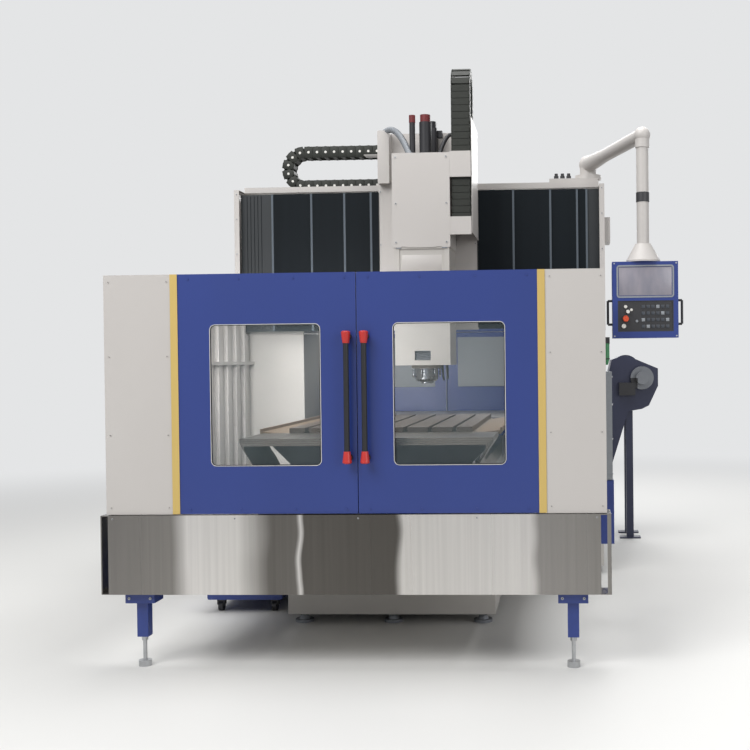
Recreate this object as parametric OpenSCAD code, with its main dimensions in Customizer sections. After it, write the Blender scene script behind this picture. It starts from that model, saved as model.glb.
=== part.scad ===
// Double column CNC machining centre, seen from its table end.
// Millimetres. X to the right, Y into the machine, Z up.
// The origin is on the floor, under the middle of the bed and the spindle axis.

/* [Travels] */
// Saddle travel to the left of its place at rest
x_left = 685; // [300:5:700]
// Saddle travel to the right of its place at rest
x_right = 515; // [300:5:530]
// Head travel downwards
z_down = 150; // [50:5:150]
// Head travel upwards
z_up = 450; // [200:5:450]

/* [Bed and table] */
// Length of the bed casting
bed_l = 3660; // [3300:10:4000]
// Width of the bed casting at its foot
bed_w = 1240; // [1200:10:1260]
// Height of the faces that carry the linear rails
bed_top = 920; // [880:5:940]
// Height of the levelling feet under the castings
foot_h = 60; // [50:1:80]
// Distance from the middle of the bed to each table rail
rail_x = 450; // [430:5:460]
// Width of a linear rail
rail_w = 45; // [35:1:55]
// Height of a linear rail
rail_h = 38; // [30:1:42]
// Height of a linear carriage above the face its rail stands on
carriage_h = 60; // [55:1:70]
// Length of the table
table_l = 1500; // [1200:10:1700]
// Overlap of each way cover plate with the next one at full stretch
way_lap = 32; // [20:1:40]
// Room between the folded way cover plates and the end of the bed
way_slack = 40.5; // [20:0.5:60]
// Width of the ground working face of the table
table_w = 1040; // [980:10:1040]
// Thickness of the table casting
table_t = 210; // [180:5:240]
// Width of the chip gutter cast along each side of the table
gutter_w = 170; // [120:5:170]
// Number of T-slots
slot_n = 7; // [3:1:9]
// Distance from one T-slot to the next
slot_pitch = 140; // [100:5:150]
// Width of the neck of a T-slot
slot_w = 22; // [14:1:28]

/* [Columns and beam] */
// Clear width between the two columns
column_gap = 1760; // [1720:10:1780]
// Width of a column
column_w = 430; // [350:10:440]
// Depth of the beam
beam_d = 520; // [450:10:560]
// Height of the underside of the beam
beam_z = 1850; // [1820:5:1900]
// Height of the beam section
beam_h = 920; // [900:5:950]
// Distance from the spindle axis back to the front face of the beam
throat = 490; // [480:5:520]

/* [Beam covers] */
// Outer width of the sheet frame round the beam covers
frame_w = 2662; // [2400:2:2900]
// Distance from each end of the beam to the outer face of that frame
frame_side = 21; // [15:1:30]
// Width of the face of that frame
frame_face = 36; // [30:1:50]
// Distance from the spindle axis back to the foremost cover plate
cover_y = 300; // [290:1:310]
// Distance from one cover plate to the next, front to back
cover_step = 8; // [6:1:8]
// Thickness of a sheet metal plate
sheet = 2; // [1:0.5:3]
// Width of the wiper strip on the edge of each cover plate
strip_w = 14; // [8:1:20]

/* [Head] */
// Distance from the middle of the doors to the head, at rest
head_x = 90; // [60:5:110]
// Width of the head cover
head_w = 388; // [360:2:388]
// Depth of the head casting, half in front of the spindle axis
head_d = 400; // [340:10:400]
// Height of the underside of the head at rest
head_z = 1536; // [1500:2:1560]
// Height of the head
head_h = 1421; // [1400:1:1440]
// Height of the spindle nose at rest
nose_z = 1414; // [1400:1:1430]
// Outside diameter of the spindle cartridge
cartridge_d = 158; // [150:1:190]

/* [Enclosure] */
// Distance from the front end of the bed to the face of the doors
front_gap = 170; // [120:10:200]
// Width of one front door
door_w = 913; // [880:1:920]
// Width of the yellow edge strip on each door
edge_w = 38; // [30:1:45]
// Width of the left front panel
panel_left_w = 345; // [300:5:350]
// Width of the right front panel
panel_right_w = 300; // [280:5:320]
// Height of the lower edge of the doors and panels
door_z = 795; // [780:5:810]
// Height of the doors and panels
door_h = 1220; // [1150:5:1260]
// Thickness of the folded doors and panels
door_t = 40; // [30:1:50]
// Width of a door window
window_w = 554; // [450:2:600]
// Height of a door window
window_h = 706; // [500:2:720]
// Length of a door handle
handle_l = 600; // [400:10:650]
// Height of the lower edge of the stainless apron
apron_z = 388; // [370:1:400]

/* [Control pendant] */
// Width of the pendant
pendant_w = 413; // [380:1:450]
// Height of the pendant
pendant_h = 482; // [440:1:520]
// Depth of the pendant
pendant_d = 120; // [90:1:160]
// Height of the lower edge of the pendant
pendant_z = 1695; // [1600:5:1750]

/* [Hidden] */
$fn = 48;
run = 0.3;
// Shares of the saddle travel taken up by each cover plate, from the frame inwards
left_share = [0.306, 0.293, 0.213, 0.118];
right_share = [0.132, 0.103, 0.34, 0.295];
// Exposed widths at rest, from the frame inwards
frame_in = frame_w / 2 - frame_face;
saddle_l = head_x - head_w / 2 - 180;
saddle_r = head_x + head_w / 2 + 143;
left_show = [225, 287, 242, 193, 64] / 1011 * (frame_in + saddle_l);
right_show = [83, 68, 190, 264, 263] / 868 * (frame_in - saddle_r);
beam_l = frame_w - 2 * frame_side;
rib_pitch = (beam_l - 100) / 7;
cover_z = beam_z - 60;
cover_h = beam_h + 70;
beam_y = throat;
col_x = column_gap / 2;
col_y = beam_y - 20;
col_d = beam_d + 140;
col_z = 400;
carriage_w = 120;
table_top = bed_top + carriage_h + table_t;
way_gap = (bed_l - table_l + 4 * (way_lap + way_slack)) / 5;
y_travel = bed_l - table_l - 2 * way_gap;
table_y = -y_travel / 2;
way_w = table_w + 2 * gutter_w - 40;
way_plate = (way_gap + y_travel) / 4 + way_lap;
head_y = head_d / 2;
z_rail_x = 130;
z_face = head_y + carriage_h;
trough_x = 745;
trough_z = 530;
trough_r = 95;
out_l = -door_w - edge_w - panel_left_w;
out_r = door_w + edge_w + panel_right_w;
door_y = -bed_l / 2 - front_gap;
window_z = door_z + 251;
pend_y = -485;
arm_z = 2985;
arm_x = frame_w / 2 - 109;
pend_x = arm_x + 332;
arm_y = throat + 40;
chain_w = 130;
chain_x = head_x + head_w / 2 + 10;
white = "#C9C4BF";
blue = "#33478C";
navy = "#20262D";
steel = "#A9ACB0";
iron = "#8C9096";
black = "#2B2D30";

function sum(v, i = 0) = i < len(v) ? v[i] + sum(v, i + 1) : 0;
function part_sum(v, n) = n > 0 ? v[n - 1] + part_sum(v, n - 1) : 0;

// A block between two corners
module block(lo, hi) translate(lo) cube(hi - lo);
// A block with rounded edges along Y
module rounded_block(lo, hi, r) {
    translate([lo[0], hi[1], lo[2]]) rotate([90, 0, 0]) linear_extrude(hi[1] - lo[1])
        rounded_rect(hi[0] - lo[0], hi[2] - lo[2], r);
}
module rounded_rect(w, h, r) {
    translate([r, 0]) square([w - 2 * r, h]);
    translate([0, r]) square([w, h - 2 * r]);
    for (x = [r, w - r], y = [r, h - r]) translate([x, y]) circle(r);
}
// A profile in X and Z, drawn out along Y
module along_y(y0, y1) translate([0, y1, 0]) rotate([90, 0, 0]) linear_extrude(y1 - y0) children();
// A profile in Y and Z, drawn out along X
module along_x(x0, x1) translate([x0, 0, 0]) rotate([90, 0, 90]) linear_extrude(x1 - x0) children();
// An outline closed by its own mirror image about X = 0
function mirrored(p) = concat(p, [for (i = [len(p) - 1 : -1 : 0]) [-p[i][0], p[i][1]]]);
module both_sides() {
    children();
    mirror([1, 0, 0]) children();
}

// Bed casting, with the rail ways, the screw channel and the wings under the columns
module bed() color(white) difference() {
    union() {
        along_y(-bed_l / 2, bed_l / 2) polygon(mirrored([[bed_w / 2, foot_h],
            [bed_w / 2, 180], [bed_w / 2 - 60, 230], [bed_w / 2 - 60, bed_top - 60],
            [rail_x + 75, bed_top], [rail_x - 75, bed_top], [rail_x - 75, bed_top - 60],
            [rail_x - 130, bed_top - 60], [rail_x - 130, 560]]));
        both_sides() block([bed_w / 2 - 70, col_y, foot_h], [col_x + column_w, col_y + col_d, col_z]);
    }
    both_sides() for (i = [-2 : 2]) if (abs(i) != 0) translate([bed_w / 2 - 90, i * 640 - 130, 400])
        along_x(0, 100) rounded_rect(360, 330, 60);
    along_x(-bed_w / 2 - 1, bed_w / 2 + 1)
        polygon([[-bed_l / 2 - 1, foot_h - 1], [bed_foot_y, foot_h - 1], [bed_foot_y, 230], [-bed_l / 2 - 1, apron_z - 3]]);
    both_sides() for (y = [col_y + 60, col_y + col_d / 2 + 30])
        along_x(col_x + column_w - 60, col_x + column_w + 1) translate([y, 130]) rounded_rect(col_d / 2 - 90, 200, 40);
    rounded_block([-260, bed_l / 2 - 60, 180], [260, bed_l / 2 + 1, 480], 60);
}

bed_foot_y = -1040;
foot_y = [-960, -480, 0, 480, 960, 1300, 1650];
module levelling_foot() {
    cylinder(h = 18, d = 110);
    cylinder(h = 40, d1 = 80, d2 = 50);
    cylinder(h = foot_h, d = 30);
}
// Levelling feet under the bed and its wings
module levelling_feet() color(iron) {
    for (x = [-540, 0, 540], y = foot_y) translate([x, y, 0]) levelling_foot();
    for (x = [-col_x - column_w + 90, col_x + column_w - 90], y = [col_y + 90, col_y + col_d - 90])
        translate([x, y, 0]) levelling_foot();
}

module rail_section() polygon([[-rail_w / 2, 0], [rail_w / 2, 0], [rail_w / 2, 13],
    [rail_w / 2 - 5, 20], [rail_w / 2, 26], [rail_w / 2, rail_h], [-rail_w / 2, rail_h],
    [-rail_w / 2, 26], [-rail_w / 2 + 5, 20], [-rail_w / 2, 13]]);
beam_rail_z = [beam_z + 150, beam_z + beam_h - 150];
// Linear rails of the table and of the saddle
module linear_rails() color(steel) {
    for (x = [-rail_x, rail_x]) translate([x, 0, bed_top]) along_y(-1720, 1720) rail_section();
    for (z = beam_rail_z) along_x(-beam_l / 2 + 40, beam_l / 2 - 40)
        translate([beam_y, z]) rotate(90) rail_section();
}
// Section of a carriage that runs on such a rail
module carriage_section() difference() {
    translate([-carriage_w / 2, 8]) square([carriage_w, carriage_h - 8]);
    translate([-rail_w / 2 - 1, -1]) square([rail_w + 2, rail_h + 3]);
}

// Two columns, each with a foot flange, a sloping back and recessed sides
module columns() color(white) both_sides() difference() {
    union() {
        along_x(col_x, col_x + column_w) polygon([[col_y, col_z], [col_y + col_d, col_z],
            [col_y + col_d, col_z + 300], [col_y + col_d - 90, beam_z], [col_y, beam_z]]);
        block([col_x, col_y, col_z], [col_x + column_w, col_y + col_d, col_z + 60]);
    }
    for (z = [col_z + 140, col_z + 560, col_z + 980])
        along_x(col_x + column_w - 50, col_x + column_w + 1) translate([col_y + 90, z]) rounded_rect(col_d - 280, 330, 50);
    for (z = [col_z + 160, col_z + 780]) along_y(col_y + col_d - 170, col_y + col_d + 1)
        translate([col_x + 80, z]) rounded_rect(column_w - 160, 480, 50);
}

// Beam casting, with rail ways in front and ribbed pockets behind
module beam() color(white) difference() {
    along_x(-beam_l / 2, beam_l / 2) polygon([[beam_y, beam_z], [beam_y + beam_d, beam_z],
        [beam_y + beam_d, beam_z + 260], [beam_y + beam_d - 120, beam_z + beam_h],
        [beam_y, beam_z + beam_h], [beam_y, beam_z + beam_h - 240], [beam_y + 65, beam_z + beam_h - 270],
        [beam_y + 65, beam_z + 270], [beam_y, beam_z + 240]]);
    for (i = [-3 : 3]) translate([(i - 0.5) * rib_pitch + 30, 0, 0])
        along_y(beam_y + beam_d - 190, beam_y + beam_d + 1) translate([0, beam_z + 90]) rounded_rect(rib_pitch - 60, 640, 50);
    block([motor_x - 25, beam_y + 64, screw_z - 100], [motor_x + 315, beam_y + 90, screw_z + 100]);
    for (x = [-beam_l / 2 - 1, beam_l / 2 - 80]) along_x(x, x + 81)
        translate([beam_y + 130, beam_z + 120]) rounded_rect(240, 560, 60);
}

// White sheet frame round the beam covers, with the fixed plates and the chain tray
module beam_cover_frame() {
    color(white) difference() {
        frame_sheets();
        block([-col_x - column_w - run, col_y - run, cover_z - 21], [col_x + column_w + run, beam_y + beam_d + 1, beam_z + run]);
    }
    color(black) for (i = [0 : 2]) translate([frame_in - 305 + i * 45, beam_y - 20, cover_z + cover_h + 94]) {
        cylinder(h = 22, d = 34);
        translate([0, 0, 22]) cylinder(h = 18, d = 24);
    }
    color(navy) {
        cover_plate(-frame_in, -frame_in + left_show[0] + x_right * left_share[0] + 10, 5, 0);
        cover_plate(frame_in - right_show[0] - x_left * right_share[0] - 10, frame_in, 5, 0);
    }
}
// Sheets of the frame, on brackets at the two ends of the beam
module frame_sheets() {
    both_sides() for (z = [beam_z + 60, beam_z + beam_h - 120])
        block([beam_l / 2, beam_y + 70, z], [frame_w / 2 - sheet, beam_y + 130, z + 60]);
        both_sides() difference() {
            block([frame_in, cover_y - 6, cover_z - 20], [frame_w / 2, beam_y + beam_d, cover_z + cover_h + 30]);
            block([frame_in - 1, cover_y - 7 + sheet + 6, cover_z - 18], [frame_w / 2 - sheet, beam_y + beam_d + 1, cover_z + cover_h + 28]);
        }
        for (z = [cover_z - 20, cover_z + cover_h + 27])
            block([-frame_in, beam_y - 58, z], [frame_in, beam_y + 20, z + 3]);
        block([-frame_in, beam_y - 58, cover_z + cover_h + 30], [frame_in, beam_y - 55, cover_z + cover_h + 67]);
        block([frame_w / 2, cover_y + 60, screw_z + 90], [frame_w / 2 + 42, cover_y + 260, screw_z + 269]);
        block([frame_in - 355, beam_y - 55, cover_z + cover_h + 30], [frame_in - 6, beam_y + 125, cover_z + cover_h + 94]);
}
// One cover plate with turned top and bottom edges; side is where its strip lies
module cover_plate(x0, x1, layer, side) translate([0, cover_y + layer * cover_step, 0]) {
    block([x0, 0, cover_z], [x1, sheet, cover_z + cover_h]);
    for (z = [cover_z, cover_z + cover_h - sheet]) block([x0, 0, z], [x1, cover_step - run, z + sheet]);
    if (side != 0) {
        x = side < 0 ? x0 : x1 - strip_w;
        color("#6E747B") block([x, -2, cover_z + 2], [x + strip_w, 0, cover_z + cover_h - 2]);
    }
}
module cover_left(n) color(navy) {
    x = -frame_in + part_sum(left_show, n);
    share = n < 4 ? left_share[n] : 1 - sum(left_share);
    cover_plate(x, x + left_show[n] + x_right * share + 10, 5 - n, -1);
}
module cover_right(n) color(navy) {
    x = frame_in - part_sum(right_show, n);
    share = n < 4 ? right_share[n] : 1 - sum(right_share);
    cover_plate(x - right_show[n] - x_left * share - 10, x, 5 - n, 1);
}

// Saddle casting: a wide back plate and the narrow front that carries the upright rails
module saddle() {
    color(white) difference() {
        union() {
            block([saddle_l + 15, cover_y + 48, beam_z + 10], [saddle_r - 15, beam_y - carriage_h, beam_z + beam_h - 10]);
            block([head_x - 185, z_face, 1720], [head_x + 150, cover_y + 44, 2960]);
            block([head_x - 185, z_face, 1720], [head_x + 150, cover_y + 49, beam_z + beam_h - 20]);
            for (x = [head_x - 185, head_x + 120]) block([x, cover_y + 48, beam_z + beam_h - 11], [x + 30, beam_y - 62, 2960]);
        }
        block([head_x - 75, z_face - 1, 1719], [head_x + 75, z_face + 70, 2961]);
    }
    color(steel) for (x = [-z_rail_x, z_rail_x]) upright(head_x + x, z_face, 1740, 2950) rail_section();
}
// A section drawn upwards, with its height turned to the front
module upright(x, y, z0, z1) translate([x, y, z0]) linear_extrude(z1 - z0) mirror([0, 1]) children();
saddle_carriage_x = [saddle_l + 110, saddle_r - 110];
// Carriages between the saddle and the beam, with the nut of the X screw
module saddle_carriages() color(steel) {
    for (z = beam_rail_z, x = saddle_carriage_x) along_x(x - 90, x + 90)
        translate([beam_y, z]) rotate(90) carriage_section();
    difference() {
        block([head_x - 60, beam_y - carriage_h, screw_z - 45], [head_x + 60, beam_y + 30, screw_z + 45]);
        translate([0, beam_y - 10, screw_z]) rotate([0, 90, 0]) cylinder(h = 2 * beam_l, d = screw_d + 2 * run, center = true);
    }
}
// Sheet covers of the saddle: side faces, top plate, duct box and chain channel
module saddle_covers() color(white) {
    top = beam_z + beam_h + 40;
    front = cover_y + cover_step - 2 - run;
    for (x = [[saddle_l, head_x - 185], [head_x + 150, saddle_r]]) {
        block([x[0], front - sheet, cover_z - 5], [x[1], front, top + 50]);
        block([x[0], front, top], [x[1], cover_y + 44, top + sheet]);
    }
    for (x = [saddle_l, saddle_r - strip_w])
        block([x, front, cover_z + 2], [x + strip_w, cover_y + cover_step - run, cover_z + cover_h - 2]);
    chain_top = x_chain_z + chain_h + 2 * chain_r;
    block([saddle_l - 110, cover_y + 44, chain_top - 4], [saddle_l + 12, beam_y - 50, chain_top]);
    block([saddle_l + 10, cover_y + 44, cover_z + cover_h + 1], [saddle_r, cover_y + 48, 3200]);
    difference() {
        rounded_block([saddle_l + 8, cover_y - 60, top + 20], [saddle_l + 90, cover_y + 44, 3205], 8);
        block([saddle_l + 12, cover_y - 40, top + 24], [saddle_l + 86, cover_y + 40, 3190]);
    }
    block([chain_x + chain_w + 6, z_chain_y - 10, 2420], [chain_x + chain_w + 9, cover_y - 12, 3190]);
    block([chain_x, cover_y - 28, 2420], [chain_x + chain_w + 6, cover_y - 25, 3190]);
    block([chain_x + 20, cover_y - 25, 2440], [chain_x + chain_w - 20, front - sheet, 2480]);
    block([chain_x + 20, z_chain_y + 2 * z_chain_h + 2 * z_chain_r, top + 10], [chain_x + chain_w - 20, front, top + 90]);
}
// Servo motor: square body, flange and connector box, its axis along Z, shaft end down
module servo(w, l) {
    translate([-w / 2, -w / 2, 12]) linear_extrude(l - 60) rounded_rect(w, w, w * 0.12);
    translate([-w * 0.55, -w * 0.55, 0]) cube([w * 1.1, w * 1.1, 12]);
    translate([-w * 0.44, -w * 0.44, l - 48]) linear_extrude(48) rounded_rect(w * 0.88, w * 0.88, w * 0.2);
    translate([w / 2, -w * 0.2, l - 110]) cube([w * 0.3, w * 0.4, w * 0.4]);
}
screw_d = 50;
z_screw_d = 40;
motor_x = beam_l / 2 - 325;
screw_z = beam_z + beam_h / 2;
y_screw_z = bed_top - 150;
z_screw_y = z_face + 20;
// Motors of the X and Y axes with their bearing housings
module feed_motors() {
    color(black) {
        translate([motor_x, beam_y - 10, screw_z]) rotate([0, 90, 0]) servo(170, 300);
        translate([0, bed_l / 2 - 400, y_screw_z]) rotate([-90, 0, 0]) servo(170, 330);
    }
    color(iron) {
        bearing_housing([motor_x - 55, beam_y - 10, screw_z], [0, 90, 0], 55);
        bearing_housing([-beam_l / 2 + 20, beam_y - 10, screw_z], [0, 90, 0], 60);
        bearing_housing([0, bed_l / 2 - 540, y_screw_z], [-90, 0, 0], 140);
        bearing_housing([0, -bed_l / 2 + 100, y_screw_z], [-90, 0, 0], 60);
        for (x = [-beam_l / 2 + 20, motor_x - 55]) block([x, beam_y + 55, screw_z - 60], [x + 50, beam_y + 65, screw_z + 60]);
        for (y = [-bed_l / 2 + 100, bed_l / 2 - 540]) block([-70, y, 560], [70, y + 60, y_screw_z - 68]);
    }
}
module bearing_housing(at, turn, l) translate(at) rotate(turn) difference() {
    translate([-70, -70, 0]) linear_extrude(l) rounded_rect(140, 140, 30);
    translate([0, 0, -1]) cylinder(h = l + 2, d = screw_d + 2 * run);
}
module screw(l) {
    cylinder(h = l, d = screw_d);
}
module x_screw() color(steel) translate([-beam_l / 2 + 22, beam_y - 10, screw_z]) rotate([0, 90, 0]) screw(motor_x + beam_l / 2 - 22);
module y_screw() color(steel) translate([0, -bed_l / 2 + 102, y_screw_z]) rotate([-90, 0, 0]) screw(bed_l - 504);
module z_screw() color(steel) translate([head_x, z_screw_y, 1760]) cylinder(h = 1250, d = z_screw_d);
// Servo motor of the head, on a bracket on top of the saddle
module z_motor() {
    color(iron) difference() {
        block([head_x - 100, z_face - 40, 2960], [head_x + 100, cover_y + 44, 3010]);
        translate([head_x, z_screw_y, 2900]) cylinder(h = 200, d = z_screw_d + 2 * run);
    }
    color(black) translate([head_x, z_screw_y - 4, 3010]) servo(120, 250);
}

// Cable chain section: links side by side, drawn out to their width along W
module chain_links(run_l, pitch, h) {
    for (i = [0 : floor(run_l / pitch) - 1]) translate([i * pitch, 0]) {
        translate([2, 0]) square([pitch - 4, h]);
        translate([-2, h * 0.25]) square([pitch, h * 0.5]);
    }
}
module chain_bend(pitch, h, r) {
    n = round(180 / (pitch / (r + h / 2) * 57.3));
    for (i = [0 : n - 1]) rotate(90 + (i + 0.5) * 180 / n) translate([r, 0])
        translate([0, -pitch * 0.5]) {
            translate([0, 2]) square([h, pitch - 4]);
            translate([h * 0.25, -5]) square([h * 0.5, pitch + 10]);
        }
}
link = 63;
chain_h = 88;
chain_r = 79;
x_chain_z = cover_z + cover_h + 30;
x_chain_x = -850;
// Cable chain of the saddle: lower run in its tray, bend on the left, upper run to the saddle
module x_chain() color(black) along_y(beam_y - 54, beam_y + 66) {
    translate([x_chain_x, x_chain_z]) chain_links(700, link, chain_h);
    translate([x_chain_x, x_chain_z + chain_h + chain_r + 2]) chain_bend(link, chain_h, chain_r);
    translate([x_chain_x, x_chain_z + chain_h + 2 * chain_r]) chain_links(570, link, chain_h);
}
z_chain_h = 70;
z_chain_r = 65;
z_chain_y = -head_y + 20;
z_chain_top = 3546;
// Cable chain of the head: front run to the head, bend on top, rear run to the saddle
module z_chain() color(black) translate([chain_x, 0, 0]) rotate([90, 0, 90]) linear_extrude(chain_w) {
    bend_z = z_chain_top - z_chain_h - z_chain_r;
    translate([z_chain_y + z_chain_h, bend_z]) rotate(-90) mirror([0, 1]) chain_links(900, 45, z_chain_h);
    translate([z_chain_y + z_chain_h + z_chain_r, bend_z]) rotate(-90) chain_bend(45, z_chain_h, z_chain_r);
    translate([z_chain_y + z_chain_h + 2 * z_chain_r, bend_z]) rotate(-90) mirror([0, 1]) translate([0, -z_chain_h]) chain_links(540, 45, z_chain_h);
}

gutter_lip = 22;
// Table casting: T-slots on top, a chip gutter on each side, ribs below
module table() color(steel) difference() {
    translate([0, table_y, 0]) along_y(-table_l / 2, table_l / 2) polygon(mirrored([
            [table_w / 2 - 5, bed_top + carriage_h],
            [table_w / 2, table_top - gutter_w - 30], [table_w / 2 + gutter_w, table_top - gutter_lip - 8],
            [table_w / 2 + gutter_w, table_top - 4], [table_w / 2 + gutter_w - 12, table_top - 4],
            [table_w / 2 + gutter_w - 14, table_top - 20], [table_w / 2 + 12, table_top - 34],
            [table_w / 2, table_top - 30], [table_w / 2, table_top]]));
    for (i = [0 : slot_n - 1]) translate([(i - (slot_n - 1) / 2) * slot_pitch, table_y, 0])
        along_y(-table_l / 2 - 1, table_l / 2 + 1) {
            translate([-slot_w / 2, table_top - 40]) square([slot_w, 41]);
            translate([-slot_w * 0.85, table_top - 38]) square([slot_w * 1.7, 16]);
        }
    for (x = [-1, 1], i = [-2 : 2]) translate([x * 190 - 110, table_y + i * 280 - 110, bed_top + carriage_h - 1])
        cube([220, 220, table_t - 90]);
}
table_carriage_y = [-table_l / 2 + 190, 0, table_l / 2 - 190];
// Carriages under the table, with the nut of the Y screw
module table_carriages() color(steel) {
    for (x = [-rail_x, rail_x], y = table_carriage_y)
        translate([x, table_y + y, bed_top]) along_y(-90, 90) carriage_section();
    difference() {
        block([-70, table_y - 60, y_screw_z - 60], [70, table_y + 60, bed_top + carriage_h]);
        translate([0, 0, y_screw_z]) rotate([90, 0, 0]) cylinder(h = 2 * bed_l, d = screw_d + 2 * run, center = true);
    }
}
// One plate of a table way cover; layer counts down from the one on the table
module way_section(y0, l, layer, end) {
    w = way_w / 2 - layer * way_drop;
    top = table_top - 16 - layer * way_drop;
    translate([0, y0, 0]) {
        along_y(0, l) way_profile(w, top, sheet);
        along_y(end < 0 ? l - sheet : 0, end < 0 ? l : sheet) way_profile(w, top, way_drop - run);
    }
}
module way_profile(w, top, t) difference() {
    way_outline(w, top);
    way_outline(w - t, top - t);
}
module way_outline(w, top) {
    skirt = bed_w / 2 - 25 + w - way_w / 2;
    polygon(mirrored([[w, top - 12], [w, top - 34], [skirt, top - 150], [skirt, bed_top - 36]]));
}
way_step = (way_gap - way_plate) / 3;
way_drop = 9;
way_open = (way_gap + y_travel - way_plate) / 3;
module way_front(n) color(steel) way_section(-bed_l / 2 + n * way_step, way_plate, 3 - n, 1);
module way_rear(n) color(steel) way_section(bed_l / 2 - way_plate - n * way_open, way_plate, 3 - n, -1);
// Plates fixed to the two ends of the bed
module way_cover_ends() {
    way_front(0);
    way_rear(0);
}
// Plates fixed to the two ends of the table
module way_cover_table_ends() color(steel) {
    way_section(table_y - table_l / 2 - way_plate, way_plate, 0, 1);
    way_section(table_y + table_l / 2, way_plate, 0, -1);
}

// Head casting with its rear carriages, the lower front recess and the vent
module head() {
    color(white) difference() {
        block([head_x - head_w / 2 + 8, -head_y + 6, head_z], [head_x + head_w / 2 - 8, head_y, head_z + head_h - 8]);
        block([head_x - 53, -head_y, head_z + 33], [head_x + 53, -head_y + 36, head_z + 96]);
        translate([head_x, 0, head_z - 1]) cylinder(h = head_h + 2, d = spindle_bore);
        block([head_x - 62, head_y - 90, head_z + 250], [head_x + 62, head_y + 1, head_z + head_h]);
        block([head_x - 150, -head_y, head_z + 620], [head_x + 150, -head_y + 14, head_z + 780]);
    }
    color(iron) for (z = [head_z + 45 : 13 : head_z + 90]) translate([head_x, -head_y + 30, z])
        rotate([30, 0, 0]) cube([106, 22, 3], center = true);
    color(steel) {
        for (x = [-z_rail_x, z_rail_x], z = [1900, 2380]) upright(head_x + x, z_face, z, z + 120) carriage_section();
        difference() {
            block([head_x - 55, head_y - 90, 2100], [head_x + 55, z_screw_y + 34, 2200]);
            translate([head_x, z_screw_y, 2000]) cylinder(h = 300, d = z_screw_d + 2 * run);
        }
    }
}
spindle_bore = 100;
// Sheet cover of the head and the two brackets that hold its cable chain
module head_cover() color(white) {
    difference() {
        rounded_block([head_x - head_w / 2, -head_y, 2325], [head_x + head_w / 2, head_y - 30, head_z + head_h], 6);
        block([head_x - head_w / 2 + 8, -head_y + 6, 2324], [head_x + head_w / 2 - 8, head_y - 29, head_z + head_h - 8]);
        for (x = [-136, 100]) block([head_x + x, -head_y - 1, 2325], [head_x + x + 36, -head_y + 7, 2331]);
    }
    for (z = [[2408, 2528], [2793, 2965]]) {
        block([chain_x - 8, -head_y + 2, z[0]], [chain_x + chain_w + 3, z_chain_y, z[1]]);
        block([chain_x - 10, -head_y + 2, z[0]], [chain_x - 8, -head_y + 120, z[1]]);
    }
}
// Spindle cartridge with its flange and ring of coolant nozzles
module spindle_cartridge() {
    color(iron) difference() {
        union() {
            translate([head_x, 0, nose_z + 26]) cylinder(h = head_z - nose_z - 26, d = cartridge_d);
            translate([head_x, 0, head_z - 22]) cylinder(h = 22, d = cartridge_d + 50);
            translate([head_x, 0, nose_z + 12]) cylinder(h = 14, d1 = cartridge_d - 30, d2 = cartridge_d);
        }
        translate([head_x, 0, nose_z]) cylinder(h = 200, d = spindle_bore - 10 + 2 * run);
    }
    color(steel) for (i = [0 : 5]) translate([head_x, 0, 0]) rotate(i * 60 + 15) translate([cartridge_d / 2 + 13, 0, head_z - 70]) {
        cylinder(h = 48, d = 12);
        translate([0, 0, -14]) cylinder(h = 14, d1 = 8, d2 = 16);
    }
}
// Drawbar booster and its accumulator on top of the head
module drawbar_booster() {
    translate([head_x + 12, -20, head_z + head_h]) {
        color(black) cylinder(h = 240, d = 83);
        color("#8E2B2E") translate([0, 0, 240]) cylinder(h = 50, d = 70);
    }
    translate([head_x - 78, -20, head_z + head_h]) {
        color(black) cylinder(h = 240, d = 40);
        color("#8E2B2E") translate([0, 0, 240]) cylinder(h = 50, d = 44);
    }
}
taper_d = 44.45;
// Spindle with its 7/24 taper, drive keys and drawbar bore
module spindle() color(steel) translate([head_x, 0, nose_z]) difference() {
    union() {
        cylinder(h = 400, d = spindle_bore - 10);
        for (a = [0, 180]) rotate(a) translate([taper_d / 2 + 3, -8, -6]) cube([14, 16, 7]);
    }
    translate([0, 0, -1]) cylinder(h = 69.4, d1 = taper_d + 0.3, d2 = 25);
    translate([0, 0, 60]) cylinder(h = 400, d = 25);
}

// Folded front panel with returned edges, between two X values
module folded_panel(x0, x1, z0, z1) difference() {
    rounded_block([x0, door_y, z0], [x1, door_y + door_t, z1], 3);
    block([x0 + sheet, door_y + sheet, z0 + sheet], [x1 - sheet, door_y + door_t + 1, z1 - sheet]);
}
module front_panels() color(white) {
    folded_panel(out_l, -door_w - edge_w - run, door_z, door_z + door_h);
    folded_panel(door_w + edge_w + run, out_r, door_z, door_z + door_h);
}
// Front door: folded sheet, window opening, yellow edge strip, hinge barrels
module front_door(s) mirror([s < 0 ? 1 : 0, 0, 0]) {
    color(blue) difference() {
        rounded_block([2, door_y, door_z + 2], [door_w, door_y + door_t, door_z + door_h], 3);
        difference() {
            block([2 + sheet, door_y + sheet, door_z + 2 + sheet], [door_w - sheet, door_y + door_t + 1, door_z + door_h - sheet]);
            along_y(door_y, door_y + door_t) translate([window_x - 25, window_z - 25]) rounded_rect(window_w + 50, window_h + 50, 40);
        }
        along_y(door_y - 1, door_y + door_t + 1) translate([window_x, window_z]) rounded_rect(window_w, window_h, 22);
        along_y(door_y + 6, door_y + door_t + 1) translate([window_x - 15, window_z - 15]) rounded_rect(window_w + 30, window_h + 30, 30);
    }
    color("#D9B23C") block([door_w, door_y - 4, door_z + 2], [door_w + edge_w, door_y + 22, door_z + door_h]);
}
window_x = 190;
module door_left() front_door(-1);
module door_right() front_door(1);
module pane() color("#C8D4D8", 0.35) along_y(door_y + 6.2, door_y + 12) translate([window_x - 14, window_z - 14])
    rounded_rect(window_w + 28, window_h + 28, 29);
module window_left() mirror([1, 0, 0]) pane();
module window_right() pane();
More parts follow.
